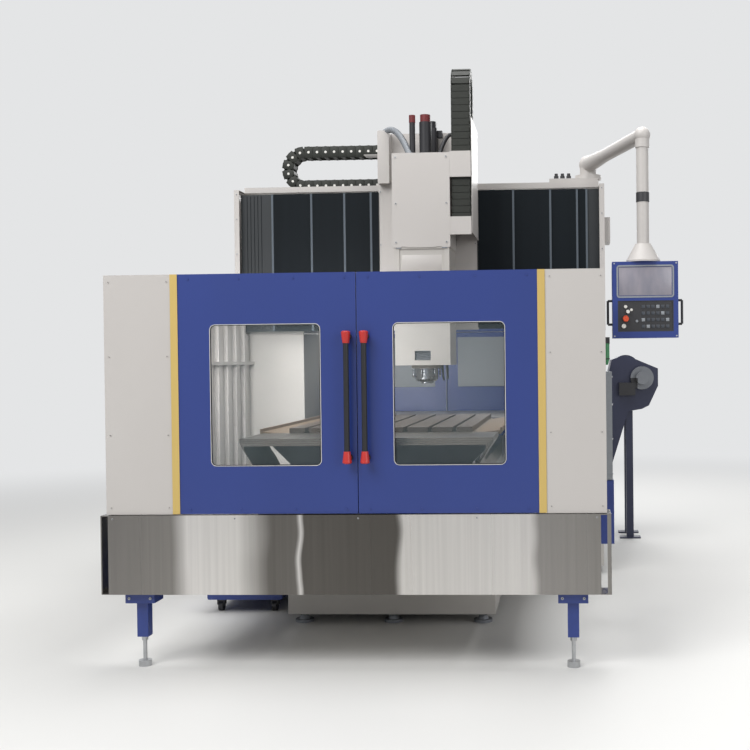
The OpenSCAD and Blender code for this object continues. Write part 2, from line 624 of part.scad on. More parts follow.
// Bar handle on two cone-shaped feet
module handle() {
    z0 = door_z + 343;
    color(black) translate([45, door_y - 46, z0 - handle_l / 2 + 277]) cylinder(h = handle_l - 60, d = 28);
    color("#D63A35") for (s = [0, 1]) translate([45, door_y - 46, z0 + 247 - handle_l / 2 + s * handle_l]) mirror([0, 0, s]) {
        translate([0, 0, -35]) cylinder(h = 65, d1 = 48, d2 = 34);
        translate([0, 46, -10]) rotate([90, 0, 0]) cylinder(h = 46, d = 30);
    }
}
module handle_left() mirror([1, 0, 0]) handle();
module handle_right() handle();

// Stainless apron: folded tray below the doors, open towards the bed
module apron() color("#B5B3B0") difference() {
    rounded_block([out_l - 28, door_y - 12, apron_z], [out_r + 20, -bed_l / 2 - 20, door_z - 3], 3);
    block([out_l - 26, door_y - 10, apron_z + sheet], [out_r + 18, -bed_l / 2 + 1, door_z - 5]);
    for (x = [out_l - 22, out_r - 32])
        block([x, door_y - 13, apron_z + 4], [x + 32, door_y - 9, door_z - 8]);
    block([out_l + 45, door_y + 30, door_z - 10], [out_r - 45, -bed_l / 2 + 1, door_z]);
}
module apron_feet() for (x = [-1142, 1078]) translate([x, door_y + 90, 0]) {
    color(blue) {
        block([-76, -60, apron_z - 53], [76, 60, apron_z]);
        block([-29, -29, apron_z - 233], [29, 29, apron_z - 53]);
    }
    color(iron) {
        cylinder(h = 30, d = 66);
        cylinder(h = apron_z - 233, d = 20);
        translate([0, 0, apron_z - 255]) cylinder(h = 22, d = 34, $fn = 6);
    }
}
wall_y0 = door_y + door_t;
wall_y1 = bed_l / 2 + 120;
// Sheet walls: the side walls and the rear frame
module side_walls() {
    wall_sheets();
    rear_frame();
}
// Side walls between the front, the columns and the rear frame, ribbed on the inside
module wall_sheets() color(white) difference() {
    wall_sheets_full();
    block([-frame_w, cover_y - 14, cover_z - 20 - run], [frame_w, col_y + 1, beam_z + beam_h]);
}
module wall_sheets_full() for (s = [-1, 1], y = [[wall_y0, col_y], [col_y + col_d, wall_y1]]) {
    x = s < 0 ? out_l + 8 : out_r - 10;
    block([x, y[0], door_z - 3], [x + sheet, y[1], door_z + door_h - 4]);
    if (y[0] > 0) block([x, beam_y + beam_d, beam_z + 10], [x + sheet, y[0], door_z + door_h - 4]);
    for (z = [door_z - 3, 1550, door_z + door_h - 28]) block([x - s * 38 * (s > 0 ? 1 : 0) + (s < 0 ? sheet : 0), y[0], z], [x + (s < 0 ? 40 : 0), y[1], z + 24]);
    for (yy = [y[0] + 120 : 190 : y[1] - 120])
        block([x + (s < 0 ? sheet : -30), yy, door_z + 21], [x + (s < 0 ? 32 : 0), yy + 70, door_z + door_h - 28]);
}
rear_y = wall_y1;
rear_open = 820;
// Rear frame: two posts and a sill, which carry the rear doors
module rear_frame() color(blue) {
    for (s = [-1, 1]) {
        x0 = s < 0 ? out_l + 8 : rear_open + run;
        x1 = s < 0 ? -rear_open - run : out_r - 8;
        block([x0, rear_y, door_z], [x1, rear_y + 40, door_z + door_h - 4]);
    }
    block([out_l + 8, rear_y, door_z - 80], [out_r - 8, rear_y + 40, door_z - 2]);
}
// Rear service door with its fixed window
module rear_door(s) mirror([s < 0 ? 1 : 0, 0, 0]) {
    color(blue) difference() {
        rounded_block([2, rear_y + 4, door_z + 2], [rear_open, rear_y + 36, door_z + door_h - 6], 3);
        block([4, rear_y + 3, door_z + 40], [rear_open - 4, rear_y + 34, door_z + door_h - 40]);
        along_y(rear_y, rear_y + 60) translate([118, 1358]) rounded_rect(582, 394, 22);
    }
    color("#C8D4D8", 0.35) along_y(rear_y + 28, rear_y + 34) translate([104, 1344]) rounded_rect(610, 422, 30);
    color(black) block([30, rear_y + 36, 1300], [54, rear_y + 60, 1440]);
}
module rear_door_left() rear_door(-1);
module rear_door_right() rear_door(1);

trough_end = rear_y + 150;
// U-shaped troughs for the two screw conveyors, with end plates that carry the shafts
module chip_troughs() color(iron) both_sides() {
    difference() {
        along_y(-bed_l / 2, trough_end) difference() {
            union() {
                translate([trough_x, trough_z]) circle(trough_r + 3);
                translate([trough_x - trough_r - 3, trough_z]) square([2 * trough_r + 6, 110]);
            }
            translate([trough_x, trough_z]) circle(trough_r);
            translate([trough_x - trough_r, trough_z]) square([2 * trough_r, 111]);
        }
        block([trough_x - 60, trough_end - 80, trough_z - 110], [trough_x + 60, trough_end - 15, trough_z]);
    }
    for (y = [-bed_l / 2, trough_end - 8]) along_y(y, y + 8) difference() {
        translate([trough_x - trough_r - 1, trough_z - trough_r / 2]) square([2 * trough_r + 2, trough_r * 1.5 + 10]);
        translate([trough_x, trough_z]) circle(d = shaft_d + 2 * run);
    }
    for (y = [-1500, -700, 100, 1500])
        block([bed_w / 2 - 60, y, trough_z - 20], [trough_x - trough_r - 3, y + 60, trough_z + 20]);
}
shaft_d = 60;
auger_r = 78;
// Screw conveyor: a shaft with a flight wound round it, driven from the rear
module auger(x, hand) color(steel) translate([x, 0, trough_z]) {
    rotate([-90, 0, 0]) translate([0, 0, -bed_l / 2 - 20]) cylinder(h = trough_end + bed_l / 2 + 40, d = shaft_d);
    pitch = 180;
    for (i = [0 : floor((bed_l - 100) / pitch) - 1]) translate([0, -bed_l / 2 + 130 + i * pitch, 0])
        rotate([-90, 0, hand * 20]) difference() {
            cylinder(h = 8, r = auger_r - 8);
            translate([0, 0, -1]) cylinder(h = 10, r = 20);
        }
}
module auger_left() auger(-trough_x, 1);
module auger_right() auger(trough_x, -1);

// Coolant tank on casters, under the left side of the machine
module coolant_tank() {
    color(blue) difference() {
        rounded_block([-1206, -760, 84], [-732, 340, 384], 12);
        block([-1202, -756, 88], [-736, 100, 390]);
    }
    color(iron) translate([-970, 220, 384]) {
        cylinder(h = 20, d = 150);
        translate([0, 0, -200]) cylinder(h = 200, d = 90);
    }
    for (x = [-1140, -798], y = [-680, 260]) translate([x, y, 0]) {
        color(iron) translate([-24, -20, 40]) cube([48, 40, 44]);
        color(black) translate([-14, 0, 34]) rotate([0, 90, 0]) cylinder(h = 28, d = 68);
    }
}

conv_y0 = rear_y + 62;
conv_wall = trough_z - trough_r - 3 - run;
conv_y1 = conv_y0 + 420;
conv_x = 1250;
conv_top = 1600;
// Chip conveyor: a low trough along the rear, an incline, and a hooded head on the right
module chip_conveyor() {
    color("#2B2F45") difference() {
        along_y(conv_y0, conv_y1) {
            polygon([[-1000, 60], [conv_x, 60], [conv_x + 330, 1110], [1700, 1130], [1760, 1160],
                [1840, 1330], [1840, 1480], [1560, conv_top], [1440, conv_top - 40], [conv_x - 70, conv_wall], [-1000, conv_wall]]);
            translate([1560, conv_top - 120]) circle(120);
        }
        block([-990, conv_y0 + 10, 70], [conv_x - 90, conv_y1 - 10, conv_wall + 1]);
        block([1700, conv_y0 + 10, 1125], [1832, conv_y1 - 10, 1300]);
    }
    color(iron) translate([1700, conv_y0, 1400]) rotate([90, 0, 0]) {
        cylinder(h = 40, d = 200);
        cylinder(h = 90, d = 110);
    }
    color(black) block([1500, conv_y0 - 60, 1250], [1640, conv_y0, 1360]);
    color(iron) for (x = [-900, 100, 1100], y = [conv_y0 + 60, conv_y1 - 60]) translate([x, y, 0]) {
        cylinder(h = 60, d = 40);
        cylinder(h = 12, d = 80);
    }
    color(iron) for (y = [conv_y0 + 30, conv_y1 - 90]) {
        block([1560, y, 0], [1620, y + 60, 1111]);
        block([1500, y - 20, 0], [1680, y + 80, 12]);
    }
}

cab_x = -col_x - column_w - 30;
// Electrical cabinet on the left of the column, with its plinth
module electrical_cabinet() {
    color(white) difference() {
        block([cab_x - 420, 100, 130], [cab_x, 1100, 2000]);
        block([cab_x - 421, 112, 142], [cab_x - 14, 1088, 1988]);
    }
    color(black) block([cab_x - 390, 120, 0], [cab_x - 20, 1080, 130 - run]);
    color(iron) for (z = [500, 1500]) block([cab_x + run, 600, z], [cab_x + 30, 700, z + 60]);
    color(iron) block([cab_x - 24, 160, 200], [cab_x - 14 - run, 1040, 1940]);
    color(black) for (z = [400, 800, 1200, 1560], y = [200, 430, 660, 860]) block([cab_x - 150, y, z], [cab_x - 24, y + 160, z + 240]);
}
module cabinet_door() {
    color(white) difference() {
        block([cab_x - 444, 100, 132], [cab_x - 420 - run, 1100, 1998]);
        block([cab_x - 442, 102, 134], [cab_x - 420, 1098, 1996]);
        for (z = [300 : 24 : 560]) block([cab_x - 445, 500, z], [cab_x - 420, 700, z + 9]);
    }
    color(black) block([cab_x - 470, 1030, 1000], [cab_x - 444, 1060, 1160]);
}
// Air service unit, lubricator box and lower cover on the right wall
module service_units() {
    x = out_r - 6;
    color(iron) block([x, -1150, 866], [x + 70, -920, 1490]);
    color(blue) block([x, -1150, 495], [x + 76, -900, 862]);
    color(iron) block([x - 2, -1100, 560], [x, -940, 1700]);
    color("#2E7D4A") for (i = [0 : 3]) translate([x + 40, -1110 + i * 50, 1560]) {
        cylinder(h = 90, d = 38);
        translate([-40, -20, 90]) cube([60, 40, 40]);
        translate([0, 0, -30]) cylinder(h = 30, d1 = 20, d2 = 38);
    }
    color(black) block([x, -1140, 1655], [x + 30, -930, 1690]);
}

// Pendant arm: turntable on the beam end, level arm and elbow
module pendant_arm() color(white) {
    a = atan2(pend_y - arm_y, pend_x - 7 - arm_x);
    l = norm([pend_x - 7 - arm_x, pend_y - arm_y]);
    translate([arm_x, arm_y, arm_base]) {
        cylinder(h = 30, d = 190);
        cylinder(h = arm_z - arm_base, d = 120);
    }
    translate([arm_x, arm_y, arm_z]) rotate(a) {
        sphere(d = 132);
        rotate([0, 90, 0]) cylinder(h = l * 0.35, d1 = 120, d2 = 90);
        rotate([0, 90, 0]) cylinder(h = l, d = 90);
        translate([l, 0, 0]) sphere(d = 104);
        translate([l, 0, -80]) cylinder(h = 80, d = 90);
    }
}
arm_base = cover_z + cover_h + 94 + run;
// Pendant: drop tube, flared foot, sheet housing, screen, key panel and side handles
module pendant() {
    z1 = pendant_z + pendant_h;
    x0 = pend_x - pendant_w / 2;
    color(white) {
        translate([pend_x - 7, pend_y, 2294]) cylinder(h = arm_z - 80 - run - 2294, d = 78);
        translate([pend_x - 7, pend_y, z1 + 10]) cylinder(h = 2294 - z1 - 10, d1 = 216, d2 = 100);
        translate([pend_x - 7, pend_y, z1]) cylinder(h = 11, d = 216);
    }
    color(black) translate([pend_x - 7, pend_y, 2560]) cylinder(h = 60, d = 84);
    color(blue) difference() {
        along_x(x0, x0 + pendant_w) polygon([[pend_y - 70, pendant_z], [pend_y + 50, pendant_z],
            [pend_y + 50, z1 - 60], [pend_y + 20, z1], [pend_y - 70, z1]]);
        block([x0 + 36, pend_y - 71, z1 - 218], [x0 + pendant_w - 36, pend_y - 64, z1 - 32]);
        block([x0 + 46, pend_y - 71, pendant_z + 48], [x0 + pendant_w - 36, pend_y - 66, z1 - 250]);
        for (p = [estop_at, start_at]) translate([x0 + p[0], pend_y - 72, pendant_z + p[1]]) rotate([-90, 0, 0]) cylinder(h = 60, d = p[2] + 2 * run);
    }
    color(black) for (s = [-1, 1]) {
        x = pend_x + s * (pendant_w / 2 + 28);
        translate([x, pend_y - 10, pendant_z + 88]) cylinder(h = 150, d = 16);
        for (z = [88, 238]) translate([min(x, x - s * 36), pend_y - 10, pendant_z + z]) rotate([0, 90, 0]) cylinder(h = 36, d = 16);
    }
    color(black) translate([x0 + 36, pend_y - 66, z1 - 218]) cube([pendant_w - 72, 2, 186]);
    for (i = [0 : 4], j = [0 : 2]) color("#8D9296")
        translate([x0 + 190 + i * 32, pend_y - 69, pendant_z + 70 + j * 42]) cube([20, 3.1, 20]);
}
estop_at = [82, 122, 22];
start_at = [96, 166, 16];
module push_button(p, head) translate([pend_x - pendant_w / 2 + p[0], pend_y - 66, pendant_z + p[1]]) rotate([90, 0, 0]) {
    translate([0, 0, -30]) cylinder(h = 44, d = p[2]);
    translate([0, 0, 14]) cylinder(h = 14, d1 = head, d2 = head * 0.85);
}
module emergency_stop() color("#D9532F") push_button(estop_at, 40);
module start_button() color("#E8E8E4") push_button(start_at, 24);

// All feet that the machine stands on
module machine_feet() {
    levelling_feet();
    apron_feet();
}
module way_cover_front_1() way_front(1);
module way_cover_front_2() way_front(2);
module way_cover_rear_1() way_rear(1);
module way_cover_rear_2() way_rear(2);
module cover_left_1() cover_left(1);
module cover_left_2() cover_left(2);
module cover_left_3() cover_left(3);
module cover_left_4() cover_left(4);
module cover_right_1() cover_right(1);
module cover_right_2() cover_right(2);
module cover_right_3() cover_right(3);
module cover_right_4() cover_right(4);

bed();
machine_feet();
linear_rails();
columns();
beam();
beam_cover_frame();
front_panels();
apron();
side_walls();
chip_troughs();
coolant_tank();
chip_conveyor();
electrical_cabinet();
cabinet_door();
service_units();
feed_motors();
x_chain();
way_cover_ends();
table();
table_carriages();
way_cover_front_1();
way_cover_front_2();
way_cover_rear_1();
way_cover_rear_2();
way_cover_table_ends();
y_screw();
x_screw();
z_screw();
saddle();
saddle_carriages();
saddle_covers();
z_motor();
z_chain();
cover_left_1();
cover_left_2();
cover_left_3();
cover_left_4();
cover_right_1();
cover_right_2();
cover_right_3();
cover_right_4();
head();
head_cover();
spindle_cartridge();
drawbar_booster();
spindle();
door_left();
door_right();
window_left();
window_right();
handle_left();
handle_right();
rear_door_left();
rear_door_right();
auger_left();
auger_right();
pendant_arm();
pendant();
emergency_stop();
start_button();
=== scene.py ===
"""Look of the double column machining centre: finishes for its CAD parts, and its fine pieces."""

import math

import bmesh
import bpy
from bpy.props import FloatProperty, FloatVectorProperty, PointerProperty
from mathutils import Matrix, Vector


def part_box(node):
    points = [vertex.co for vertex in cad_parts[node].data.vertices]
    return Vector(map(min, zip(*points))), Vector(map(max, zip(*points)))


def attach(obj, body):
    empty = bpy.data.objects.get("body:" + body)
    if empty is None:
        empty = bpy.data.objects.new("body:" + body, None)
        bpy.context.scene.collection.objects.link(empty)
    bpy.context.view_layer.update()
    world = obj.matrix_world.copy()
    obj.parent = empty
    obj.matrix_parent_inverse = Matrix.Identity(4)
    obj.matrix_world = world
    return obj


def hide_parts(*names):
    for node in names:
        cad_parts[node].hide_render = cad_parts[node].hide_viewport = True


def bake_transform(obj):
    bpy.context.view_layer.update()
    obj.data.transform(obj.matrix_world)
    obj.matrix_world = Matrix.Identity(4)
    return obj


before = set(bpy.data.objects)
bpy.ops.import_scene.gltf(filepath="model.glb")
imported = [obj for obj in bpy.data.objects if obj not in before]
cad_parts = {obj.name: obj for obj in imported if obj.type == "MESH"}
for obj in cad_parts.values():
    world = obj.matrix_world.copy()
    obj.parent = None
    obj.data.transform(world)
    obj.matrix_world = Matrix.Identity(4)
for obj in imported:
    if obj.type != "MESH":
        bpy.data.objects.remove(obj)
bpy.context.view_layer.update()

# the camera as solved from the photograph: picture side and focal length in pixels, principal point's X,
# place in metres, and pan, tilt and roll in degrees
PICTURE_SIDE = 750
FOCAL_PIXELS = 1077.8
CENTRE_X = 517.7
CAMERA_PLACE = (1.0664, -7.3851, 1.5592)
CAMERA_PAN, CAMERA_TILT, CAMERA_ROLL = 2.711, -0.758, -0.605
SENSOR = 36

BACKDROP = "#E4E5E6"  # the pale grey that the camera sees behind the machine and at the floor's far end
STUDIO_AIR = "#C9CDD2"  # the faint cool light from all sides
DOOR_FACE = -2.0  # front of the doors and panels
BIG = 99.0  # past the machine on every side, for zones without a bound there
FAR = 50.0  # a reach far out on each side, for the chain bends' start and end points

bl_info = {
    "name": "Machining centre look",
    "version": (1, 0, 0),
    "blender": (4, 5, 0),
    "location": "View3D > Sidebar > Machine",
    "description": "Finishes and fine pieces of a double column machining centre",
    "category": "Object",
}


def linear(code):
    """An sRGB hex colour as the linear values that shaders use."""
    parts = [int(code[i:i + 2], 16) / 255 for i in (1, 3, 5)]
    return tuple(c / 12.92 if c <= 0.04045 else ((c + 0.055) / 1.055) ** 2.4 for c in parts) + (1.0,)


def add_node(tree, kind, settings=(), links=()):
    """Adds one shader node, sets its properties and inputs, and links its inputs."""
    made = tree.nodes.new(kind)
    for key, value in dict(settings).items():
        if isinstance(key, str) and hasattr(made, key):
            setattr(made, key, value)
        else:
            made.inputs[key].default_value = value
    for key, source in dict(links).items():
        tree.links.new(source, made.inputs[key])
    return made


def inside_zone(tree, axes, low, high):
    """One where a point lies in the box between two corners, and zero elsewhere."""
    mask = None
    for i in range(3):
        for bound, test in ((low[i], "GREATER_THAN"), (high[i], "LESS_THAN")):
            if abs(bound) == BIG:
                continue
            step = add_node(tree, "ShaderNodeMath", {"operation": test, 1: bound}, {0: axes.outputs[i]})
            if mask is not None:
                step = add_node(tree, "ShaderNodeMath", {"operation": "MULTIPLY"},
                                {0: mask.outputs[0], 1: step.outputs[0]})
            mask = step
    return mask.outputs[0]


def mix_colour(tree, factor, first, second):
    """A colour that goes from the first to the second; each is a socket or a hex code."""
    made = add_node(tree, "ShaderNodeMix", {"data_type": "RGBA"})
    tree.links.new(factor, made.inputs["Factor"])
    for slot, value in ((6, first), (7, second)):
        if isinstance(value, str):
            made.inputs[slot].default_value = linear(value)
        else:
            tree.links.new(value, made.inputs[slot])
    return made.outputs[2]


def mix_number(tree, factor, first, second):
    """A number that goes from the first to the second; each is a socket or a number."""
    made = add_node(tree, "ShaderNodeMix", {"data_type": "FLOAT"})
    tree.links.new(factor, made.inputs["Factor"])
    for slot, value in ((2, first), (3, second)):
        if isinstance(value, (int, float)):
            made.inputs[slot].default_value = value
        else:
            tree.links.new(value, made.inputs[slot])
    return made.outputs[0]


# name: base colour, second tone, roughness, metallic, pattern size in mm, its stretch, grain in mm, grain height in mm
FINISHES = {
    # enamel on filled cast iron: even and a little wavy, softly glossy
    "enamel_on_casting": ("#BEBAB5", "#B2AEA8", 0.42, 0.0, 260, (1, 1, 1), 5, 0.10),
    # powder coat on folded sheet: fine orange peel, satin
    "white_powder_coat": ("#C0BCB8", "#B8B3AF", 0.40, 0.0, 420, (1, 1, 0.5), 2.5, 0.05),
    "blue_powder_coat": ("#2A3D82", "#243674", 0.30, 0.0, 500, (1, 1, 0.4), 2.5, 0.05),
    "dark_blue_powder_coat": ("#2D324C", "#262A40", 0.38, 0.0, 300, (1, 1, 1), 3, 0.06),
    # painted sheet of the beam covers: near black with long faint vertical streaks
    "slate_cover_plate": ("#10171C", "#0B1014", 0.55, 0.0, 60, (1, 1, 0.03), 3, 0.03),
    "yellow_edge_paint": ("#C9AE68", "#BFA35C", 0.40, 0.0, 200, (1, 1, 1), 3, 0.04),
    # cold rolled stainless sheet: brushed grain along X; its two tones are painted soft broad reflections
    "brushed_stainless": ("#D2D0CE", "#75726F", 0.27, 0.95, 420, (1, 1, 0.04), 6, 0.02),
    # ground steel of rails, screws and shafts
    "ground_steel": ("#B2B4B7", "#9EA1A5", 0.26, 1.0, 60, (1, 0.1, 1), 1.5, 0.01),
    # machined cast iron of the table: grey brown, oil darkened
    "machined_table_iron": ("#6F6258", "#574C44", 0.42, 0.45, 90, (1, 0.12, 1), 2, 0.03),
    # chip gutters under a brown film of rust-preventing grease
    "greased_gutter": ("#8A765F", "#746250", 0.45, 0.2, 120, (1, 0.2, 1), 3, 0.05),
    "way_cover_steel": ("#857F79", "#6B655F", 0.32, 0.85, 150, (0.1, 1, 1), 4, 0.02),
    "raw_iron": ("#84878C", "#6F7277", 0.48, 0.5, 40, (1, 1, 1), 2, 0.08),
    # moulded plastic and anodised black
    "black_plastic": ("#2A2A2D", "#232326", 0.46, 0.0, 30, (1, 1, 1), 1.5, 0.05),
    "chain_plastic": ("#2E302C", "#242622", 0.52, 0.0, 25, (1, 1, 1), 1.5, 0.05),
    "pale_plastic": ("#DAD8D2", "#CDCBC5", 0.42, 0.0, 30, (1, 1, 1), 1.5, 0.03),
    "grey_plastic": ("#8D9196", "#7F8388", 0.45, 0.0, 20, (1, 1, 1), 1, 0.03),
    "red_plastic": ("#C2322C", "#B02A26", 0.33, 0.0, 40, (1, 1, 1), 1, 0.02),
    "orange_plastic": ("#D9542F", "#CB4A28", 0.32, 0.0, 20, (1, 1, 1), 1, 0.01),
    "green_plastic": ("#2F7D4C", "#286E42", 0.38, 0.0, 30, (1, 1, 1), 1, 0.02),
    "seal_rubber": ("#1D1E20", "#191A1B", 0.60, 0.0, 20, (1, 1, 1), 1, 0.05),
    # drawn aluminium wiper strips, in a dull dark grey
    "wiper_strip": ("#5F666D", "#4F565D", 0.50, 0.3, 40, (1, 1, 0.05), 2, 0.02),
    # aged red of the drawbar cylinders' caps
    "faded_red_cap": ("#6E2A2C", "#5C2426", 0.50, 0.0, 30, (1, 1, 1), 1, 0.02),
    "key_plastic": ("#3B4048", "#32363D", 0.45, 0.0, 20, (1, 1, 1), 1, 0.02),
    # the screen under its creased protective film: pale, with soft folds
    "film_on_screen": ("#A39CA2", "#6F7280", 0.22, 0.0, 70, (1, 1, 0.35), 18, 0.9),
    "zinc_fastener": ("#B9BABC", "#A6A8AA", 0.34, 0.9, 12, (1, 1, 1), 1, 0.01),
}


def seen_directly(tree):
    """One for rays from the camera, also those off a mirror or through glass."""
    path = add_node(tree, "ShaderNodeLightPath")
    first = add_node(tree, "ShaderNodeMath", {"operation": "MAXIMUM"},
                     {0: path.outputs["Is Camera Ray"], 1: path.outputs["Is Glossy Ray"]})
    return add_node(tree, "ShaderNodeMath", {"operation": "MAXIMUM"},
                    {0: first.outputs[0], 1: path.outputs["Is Transmission Ray"]}).outputs[0]


def make_finish(name, base, zones=()):
    """A procedural finish; zones paint boxes of it with another finish's tones."""
    tone, second, rough, metal, size, stretch, grain, height = FINISHES[base]
    material = bpy.data.materials.new(name)
    material.use_nodes = True
    tree = material.node_tree
    shader = tree.nodes["Principled BSDF"]
    place = add_node(tree, "ShaderNodeTexCoord").outputs["Object"]
    spread = add_node(tree, "ShaderNodeMapping", {"Scale": [1000 / size * s for s in stretch]}, {"Vector": place})
    cloud = add_node(tree, "ShaderNodeTexNoise", {"Scale": 1.0, "Detail": 4.0}, {"Vector": spread.outputs[0]})
    fine = add_node(tree, "ShaderNodeTexNoise", {"Scale": 1000 / grain, "Detail": 2.0}, {"Vector": place})
    colour = mix_colour(tree, cloud.outputs["Fac"], tone, second)
    roughness = mix_number(tree, cloud.outputs["Fac"], rough - 0.05, rough + 0.07)
    if zones:
        axes = add_node(tree, "ShaderNodeSeparateXYZ", (), {"Vector": place})
        metallic = None
        for low, high, other in zones:
            mask = inside_zone(tree, axes, low, high)
            its = FINISHES[other]
            colour = mix_colour(tree, mask, colour, mix_colour(tree, cloud.outputs["Fac"], its[0], its[1]))
            roughness = mix_number(tree, mask, roughness, its[2])
            metallic = mix_number(tree, mask, metal if metallic is None else metallic, its[3])
        tree.links.new(metallic, shader.inputs["Metallic"])
    else:
        shader.inputs["Metallic"].default_value = metal
    shader.inputs["Specular IOR Level"].default_value = SHEEN.get(base, 0.5)
    relief = add_node(tree, "ShaderNodeBump", {"Strength": 0.5, "Distance": height / 1000},
                      {"Height": fine.outputs["Fac"]})
    tree.links.new(colour, shader.inputs["Base Color"])
    tree.links.new(roughness, shader.inputs["Roughness"])
    tree.links.new(relief.outputs[0], shader.inputs["Normal"])
    return material


def make_painted_reflection_bands(name, stops):
    """Stainless sheet with painted reflections: its base colour holds broad upright bands, with soft, wavy edges, in
    the greys of what stands before it.
    """
    material = make_finish(name, "brushed_stainless")
    tree = material.node_tree
    shader = tree.nodes["Principled BSDF"]
    place = add_node(tree, "ShaderNodeTexCoord").outputs["Object"]
    spread = add_node(tree, "ShaderNodeMapping", {"Scale": (1.0, 1.0, 2.2)}, {"Vector": place})
    wave = add_node(tree, "ShaderNodeTexNoise", {"Scale": 1.4, "Detail": 1.0}, {"Vector": spread.outputs[0]})
    axes = add_node(tree, "ShaderNodeSeparateXYZ", (), {"Vector": place})
    bent = add_node(tree, "ShaderNodeMath", {"operation": "MULTIPLY_ADD", 1: 0.10},
                    {0: wave.outputs["Fac"], 2: axes.outputs["X"]})
    low, high = stops[0][0], stops[-1][0]
    along = add_node(tree, "ShaderNodeMapRange", {"From Min": low + 0.05, "From Max": high + 0.05},
                     {"Value": bent.outputs[0]})
    ramp = add_node(tree, "ShaderNodeValToRGB", (), {"Fac": along.outputs[0]})
    marks = ramp.color_ramp.elements
    while len(marks) < len(stops):
        marks.new(0.5)
    for mark, (x, tone) in zip(marks, stops):
        mark.position = (x - low) / (high - low)
        mark.color = linear(tone)
    # fine scratches of the brushing, upright
    brushed = add_node(tree, "ShaderNodeMapping", {"Scale": (60.0, 1.0, 0.8)}, {"Vector": place})
    grain = add_node(tree, "ShaderNodeTexNoise", {"Scale": 1.0, "Detail": 3.0}, {"Vector": brushed.outputs[0]})
    fade = add_node(tree, "ShaderNodeMapRange", {"From Min": 0.3, "From Max": 0.7, "To Min": 0.93, "To Max": 1.05},
                    {"Value": grain.outputs["Fac"]})
    toned = add_node(tree, "ShaderNodeVectorMath", {"operation": "SCALE"},
                     {0: ramp.outputs["Color"], "Scale": fade.outputs[0]})
    # the painted reflections, varied by the brushing's grain, become the sheet's base colour
    tree.links.new(toned.outputs[0], shader.inputs["Base Color"])
    return material


def make_pane(name):
    """Laminated safety glass: clear, faintly grey, with a light film of dust."""
    material = bpy.data.materials.new(name)
    material.use_nodes = True
    tree = material.node_tree
    shader = tree.nodes["Principled BSDF"]
    shader.inputs["Base Color"].default_value = linear("#9FB0B4")
    shader.inputs["IOR"].default_value = 1.5
    place = add_node(tree, "ShaderNodeTexCoord").outputs["Object"]
    film = add_node(tree, "ShaderNodeTexNoise", {"Scale": 6.0, "Detail": 5.0}, {"Vector": place})
    tree.links.new(mix_number(tree, film.outputs["Fac"], 0.03, 0.12), shader.inputs["Roughness"])
    tree.links.new(mix_number(tree, film.outputs["Fac"], 0.03, 0.10), shader.inputs["Alpha"])
    return material


# how strongly a finish mirrors at its face, where it isn't the usual half
SHEEN = {"slate_cover_plate": 0.12, "chain_plastic": 0.25, "black_plastic": 0.3}
# painted reflections in the apron's base colour: greys of what its sheet mirrors, from its left end to its right, each
# from an X on
PAINTED_REFLECTION_GREYS = ((-1.30, "#7B7875"), (-0.95, "#827F7B"), (-0.86, "#D2CFCC"), (-0.62, "#CDCAC6"), (-0.46, "#64615D"),
            (-0.330, "#6A6763"), (-0.312, "#D5D2CF"), (-0.294, "#5C5955"), (0.19, "#55524E"), (0.225, "#C8C5C1"),
            (0.86, "#CCC9C6"), (0.90, "#918E8B"), (1.25, "#878480"))

MADE = {}


def finish(name):
    """The shared finish of that name, made once."""
    if name not in MADE:
        MADE[name] = make_pane(name) if name == "safety_glass" else make_finish(name, name)
    return MADE[name]


def dress(node, material):
    """Gives a CAD node one finish."""
    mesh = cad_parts[node].data
    if not mesh.materials:
        mesh.materials.append(material)
    for i in range(len(mesh.materials)):
        mesh.materials[i] = material


